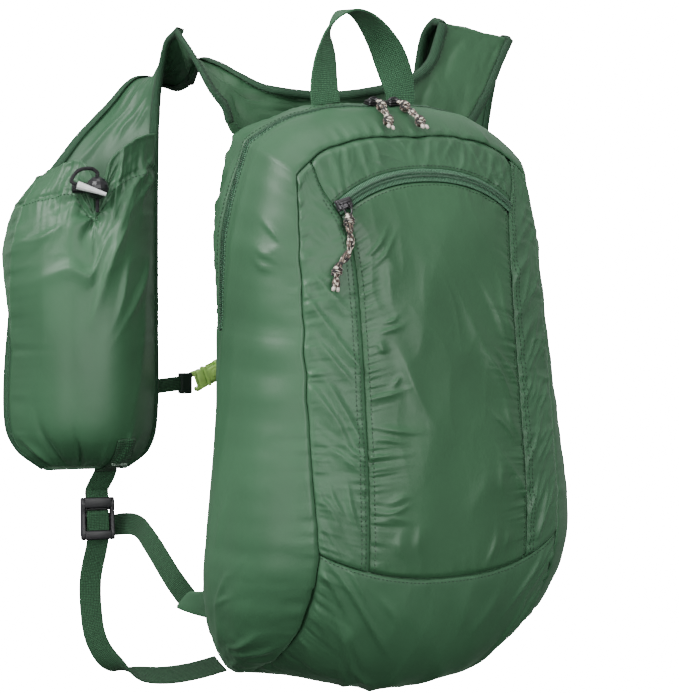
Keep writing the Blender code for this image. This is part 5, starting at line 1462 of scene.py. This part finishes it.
sliders = {
    "main_slider_left": ((-8.2, -62.4, -7.0), (1, 0, -0.01), (-0.01, -0.16, 0.99), "main_pull_left"),
    "main_slider_right": ((8.2, -62.4, -7.0), (1, 0, 0.01), (0.01, -0.16, 0.99), "main_pull_right"),
    "pocket_slider": ((-66.8, -112.7, -72.4), (0.94, -0.19, 0.28), (-0.28, -0.91, 0.32), "pocket_pull"),
}
for node, (centre, x, z, pull) in sliders.items():
    centre, axes = Vector(centre) / 1000, seat(x, z)
    shape = bmesh.new()
    blockInto(shape, centre, axes, (0, 0, -1.4), (11.0, 7.5, 1.3), 0.5)
    blockInto(shape, centre, axes, (0, 0, 0.0), (10.4, 6.9, 2.0), 0.9)
    blockInto(shape, centre, axes, (0, 0, 1.0), (7.4, 4.6, 1.2), 0.5)
    ringInto(shape, centre + axes[2] * 0.0012, axes[0] * 0.0034, axes[2] * 0.0019, 0.00062)
    leave = Vector(pulls[pull][0]) / 1000 - centre
    toward = leave - axes[2] * leave.dot(axes[2])
    aside = axes[2].cross(toward.normalized())
    ringInto(shape, centre + leave * 0.55 + axes[2] * 0.0016, toward * 0.62, aside * 0.0026, 0.0006)
    bmesh.ops.recalc_face_normals(shape, faces=shape.faces)
    finishPiece(node.replace("_s", "S").replace("_", "."), shape, "metal", node)

buckle = {
    "x": (0.93, -0.01, 0.36), "z": (-0.36, 0.01, 0.93),
    "socket": (
        (-47.3, 74.2, -193.2),
        ((1.2, 0, 0), (12.8, 6.0, 9.4), 1.1), ((5.3, 0, 0), (4.6, 5.6, 14.3), 1.1),
        ((-6.3, 0, 0), (2.6, 6.2, 14.4), 0.9), ((0.4, 0, 6.1), (9.0, 1.6, 2.0), 0.5),
        ((0.4, 0, -6.1), (9.0, 1.6, 2.0), 0.5), ((1.4, 0, 0), (7.2, 6.9, 5.0), 0.8),
    ),
    "plug": (
        (-58.4, 74.4, -197.5),
        ((0.9, 0, 0), (5.6, 6.0, 13.6), 1.2), ((-3.2, 0, 5.6), (4.4, 5.0, 3.2), 0.9),
        ((-3.2, 0, -5.6), (4.4, 5.0, 3.2), 0.9), ((-3.4, -1.9, 0), (1.4, 1.6, 12.0), 0.5),
        ((7.6, 0, 4.6), (9.4, 3.2, 2.7), 0.9), ((7.6, 0, -4.6), (9.4, 3.2, 2.7), 0.9),
    ),
}
for half in ("socket", "plug"):  # first the centre, then each block: place, size and rounding in mm
    shape = bmesh.new()
    for at, size, round_ in buckle[half][1:]:
        blockInto(shape, Vector(buckle[half][0]) / 1000, seat(buckle["x"], buckle["z"]), at, size, round_)
    finishPiece("buckle" + half.capitalize(), shape, "lime", f"buckle_{half}")
print("hard pieces made")


def softened(name, node, look, rounds):
    shape = bmesh.new()
    shape.from_mesh(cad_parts[node].data)
    bmesh.ops.remove_doubles(shape, verts=shape.verts, dist=0.00005)
    bmesh.ops.subdivide_edges(shape, edges=shape.edges[:], cuts=3, use_grid_fill=True)
    for _ in range(rounds):
        bmesh.ops.smooth_vert(
            shape, verts=shape.verts[:], factor=0.5, use_axis_x=True, use_axis_y=True, use_axis_z=True,
        )
    for vertex in shape.verts:  # slack of a small piece of cloth
        vertex.co += Vector((0.6, 0.3, 0.7)) * 0.0004 * noise.noise(vertex.co / 0.007)
    return finishPiece(name, shape, look, node)


softened("pocketBackWall", "pocket_back_wall", "deep", 2)
softened("sideTab.left", "side_tab_left", "body", 3)
softened("sideTab.right", "side_tab_right", "body", 3)
softened("sternumKeeper", "sternum_keeper", "elasticCloth", 2)

# CAD pieces that stay, with their finishes
for node, look in {
    "cord_lock_body": "black", "cord_lock_plunger": "black", "cord_tab": "grey",
}.items():
    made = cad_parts[node]
    for slot in made.material_slots:
        slot.material = looks[look]

# floor and light
stage = {
    "floor": 0.9, "floorGlow": 30.0, "backdrop": 30.0,
    "key": 43.0, "fill": 38.0, "low": 11.0, "top": 12.0, "worldLow": 0.02, "worldHigh": 0.60,
}


def stagePiece(name, shape, material):
    mesh = bpy.data.meshes.new(name)
    shape.to_mesh(mesh)
    shape.free()
    mesh.shade_smooth()
    piece = bpy.data.objects.new(name, mesh)
    mesh.materials.append(material)
    bpy.context.scene.collection.objects.link(piece)
    piece.visible_diffuse = piece.visible_glossy = piece.visible_shadow = False  # it doesn't tint the cloth
    return piece


floorMaterial, _, _, floorShader = newMaterial("paleFloor", (stage["floor"],) * 3, 0.9)
floorShader.inputs["Specular IOR Level"].default_value = 0.0
floorShader.inputs["Emission Color"].default_value = (1, 1, 1, 1)
floorShader.inputs["Emission Strength"].default_value = stage["floorGlow"]
shape = bmesh.new()
bmesh.ops.create_circle(shape, cap_ends=True, segments=64, radius=7.8)
bmesh.ops.translate(shape, verts=shape.verts, vec=(0, 0, cadBox[0][2] - 0.03))
stagePiece("floor", shape, floorMaterial)
backdropMaterial, _, _, backdropShader = newMaterial("whiteBackdrop", (1, 1, 1), 1.0)
backdropShader.inputs["Emission Color"].default_value = (1, 1, 1, 1)
backdropShader.inputs["Emission Strength"].default_value = stage["backdrop"]
shape = bmesh.new()
bmesh.ops.create_uvsphere(shape, u_segments=48, v_segments=24, radius=8.0)
bmesh.ops.reverse_faces(shape, faces=shape.faces)
stagePiece("backdrop", shape, backdropMaterial)


def softLight(name, azimuth, elevation, distance, size, power, color=(1, 1, 1)):
    a, e = math.radians(azimuth), math.radians(elevation)
    way = Vector((math.sin(a) * math.cos(e), -math.cos(a) * math.cos(e), math.sin(e)))
    data = bpy.data.lights.new(name, "AREA")
    data.shape, data.size, data.energy, data.color = "SQUARE", size, power, color
    lamp = bpy.data.objects.new(name, data)
    lamp.location = Vector(camera["target"]) + way * distance
    lamp.rotation_euler = way.to_track_quat("Z", "Y").to_euler()
    bpy.context.scene.collection.objects.link(lamp)


softLight("keyLight", -84, 36, 1.9, 0.9, stage["key"])
softLight("fillLight", -6, 10, 2.4, 1.5, stage["fill"])
softLight("lowLight", -50, -4, 2.2, 1.0, stage["low"])
softLight("topLight", -20, 80, 1.8, 1.2, stage["top"])
world = bpy.data.worlds.new("studio")
world.use_nodes = True
world.node_tree.nodes["Background"].inputs["Color"].default_value = (1, 1, 1, 1)
sky = world.node_tree.nodes.new("ShaderNodeTexCoord")
height = world.node_tree.nodes.new("ShaderNodeSeparateXYZ")
dim = nodeOf(world.node_tree.nodes, "ShaderNodeMapRange")
dim.inputs["From Min"].default_value, dim.inputs["From Max"].default_value = -0.7, 0.5
dim.inputs["To Min"].default_value, dim.inputs["To Max"].default_value = stage["worldLow"], stage["worldHigh"]
world.node_tree.links.new(sky.outputs["Generated"], height.inputs["Vector"])
world.node_tree.links.new(height.outputs["Z"], dim.inputs["Value"])
world.node_tree.links.new(dim.outputs["Result"], world.node_tree.nodes["Background"].inputs["Strength"])
bpy.context.scene.world = world
print("stage lit")
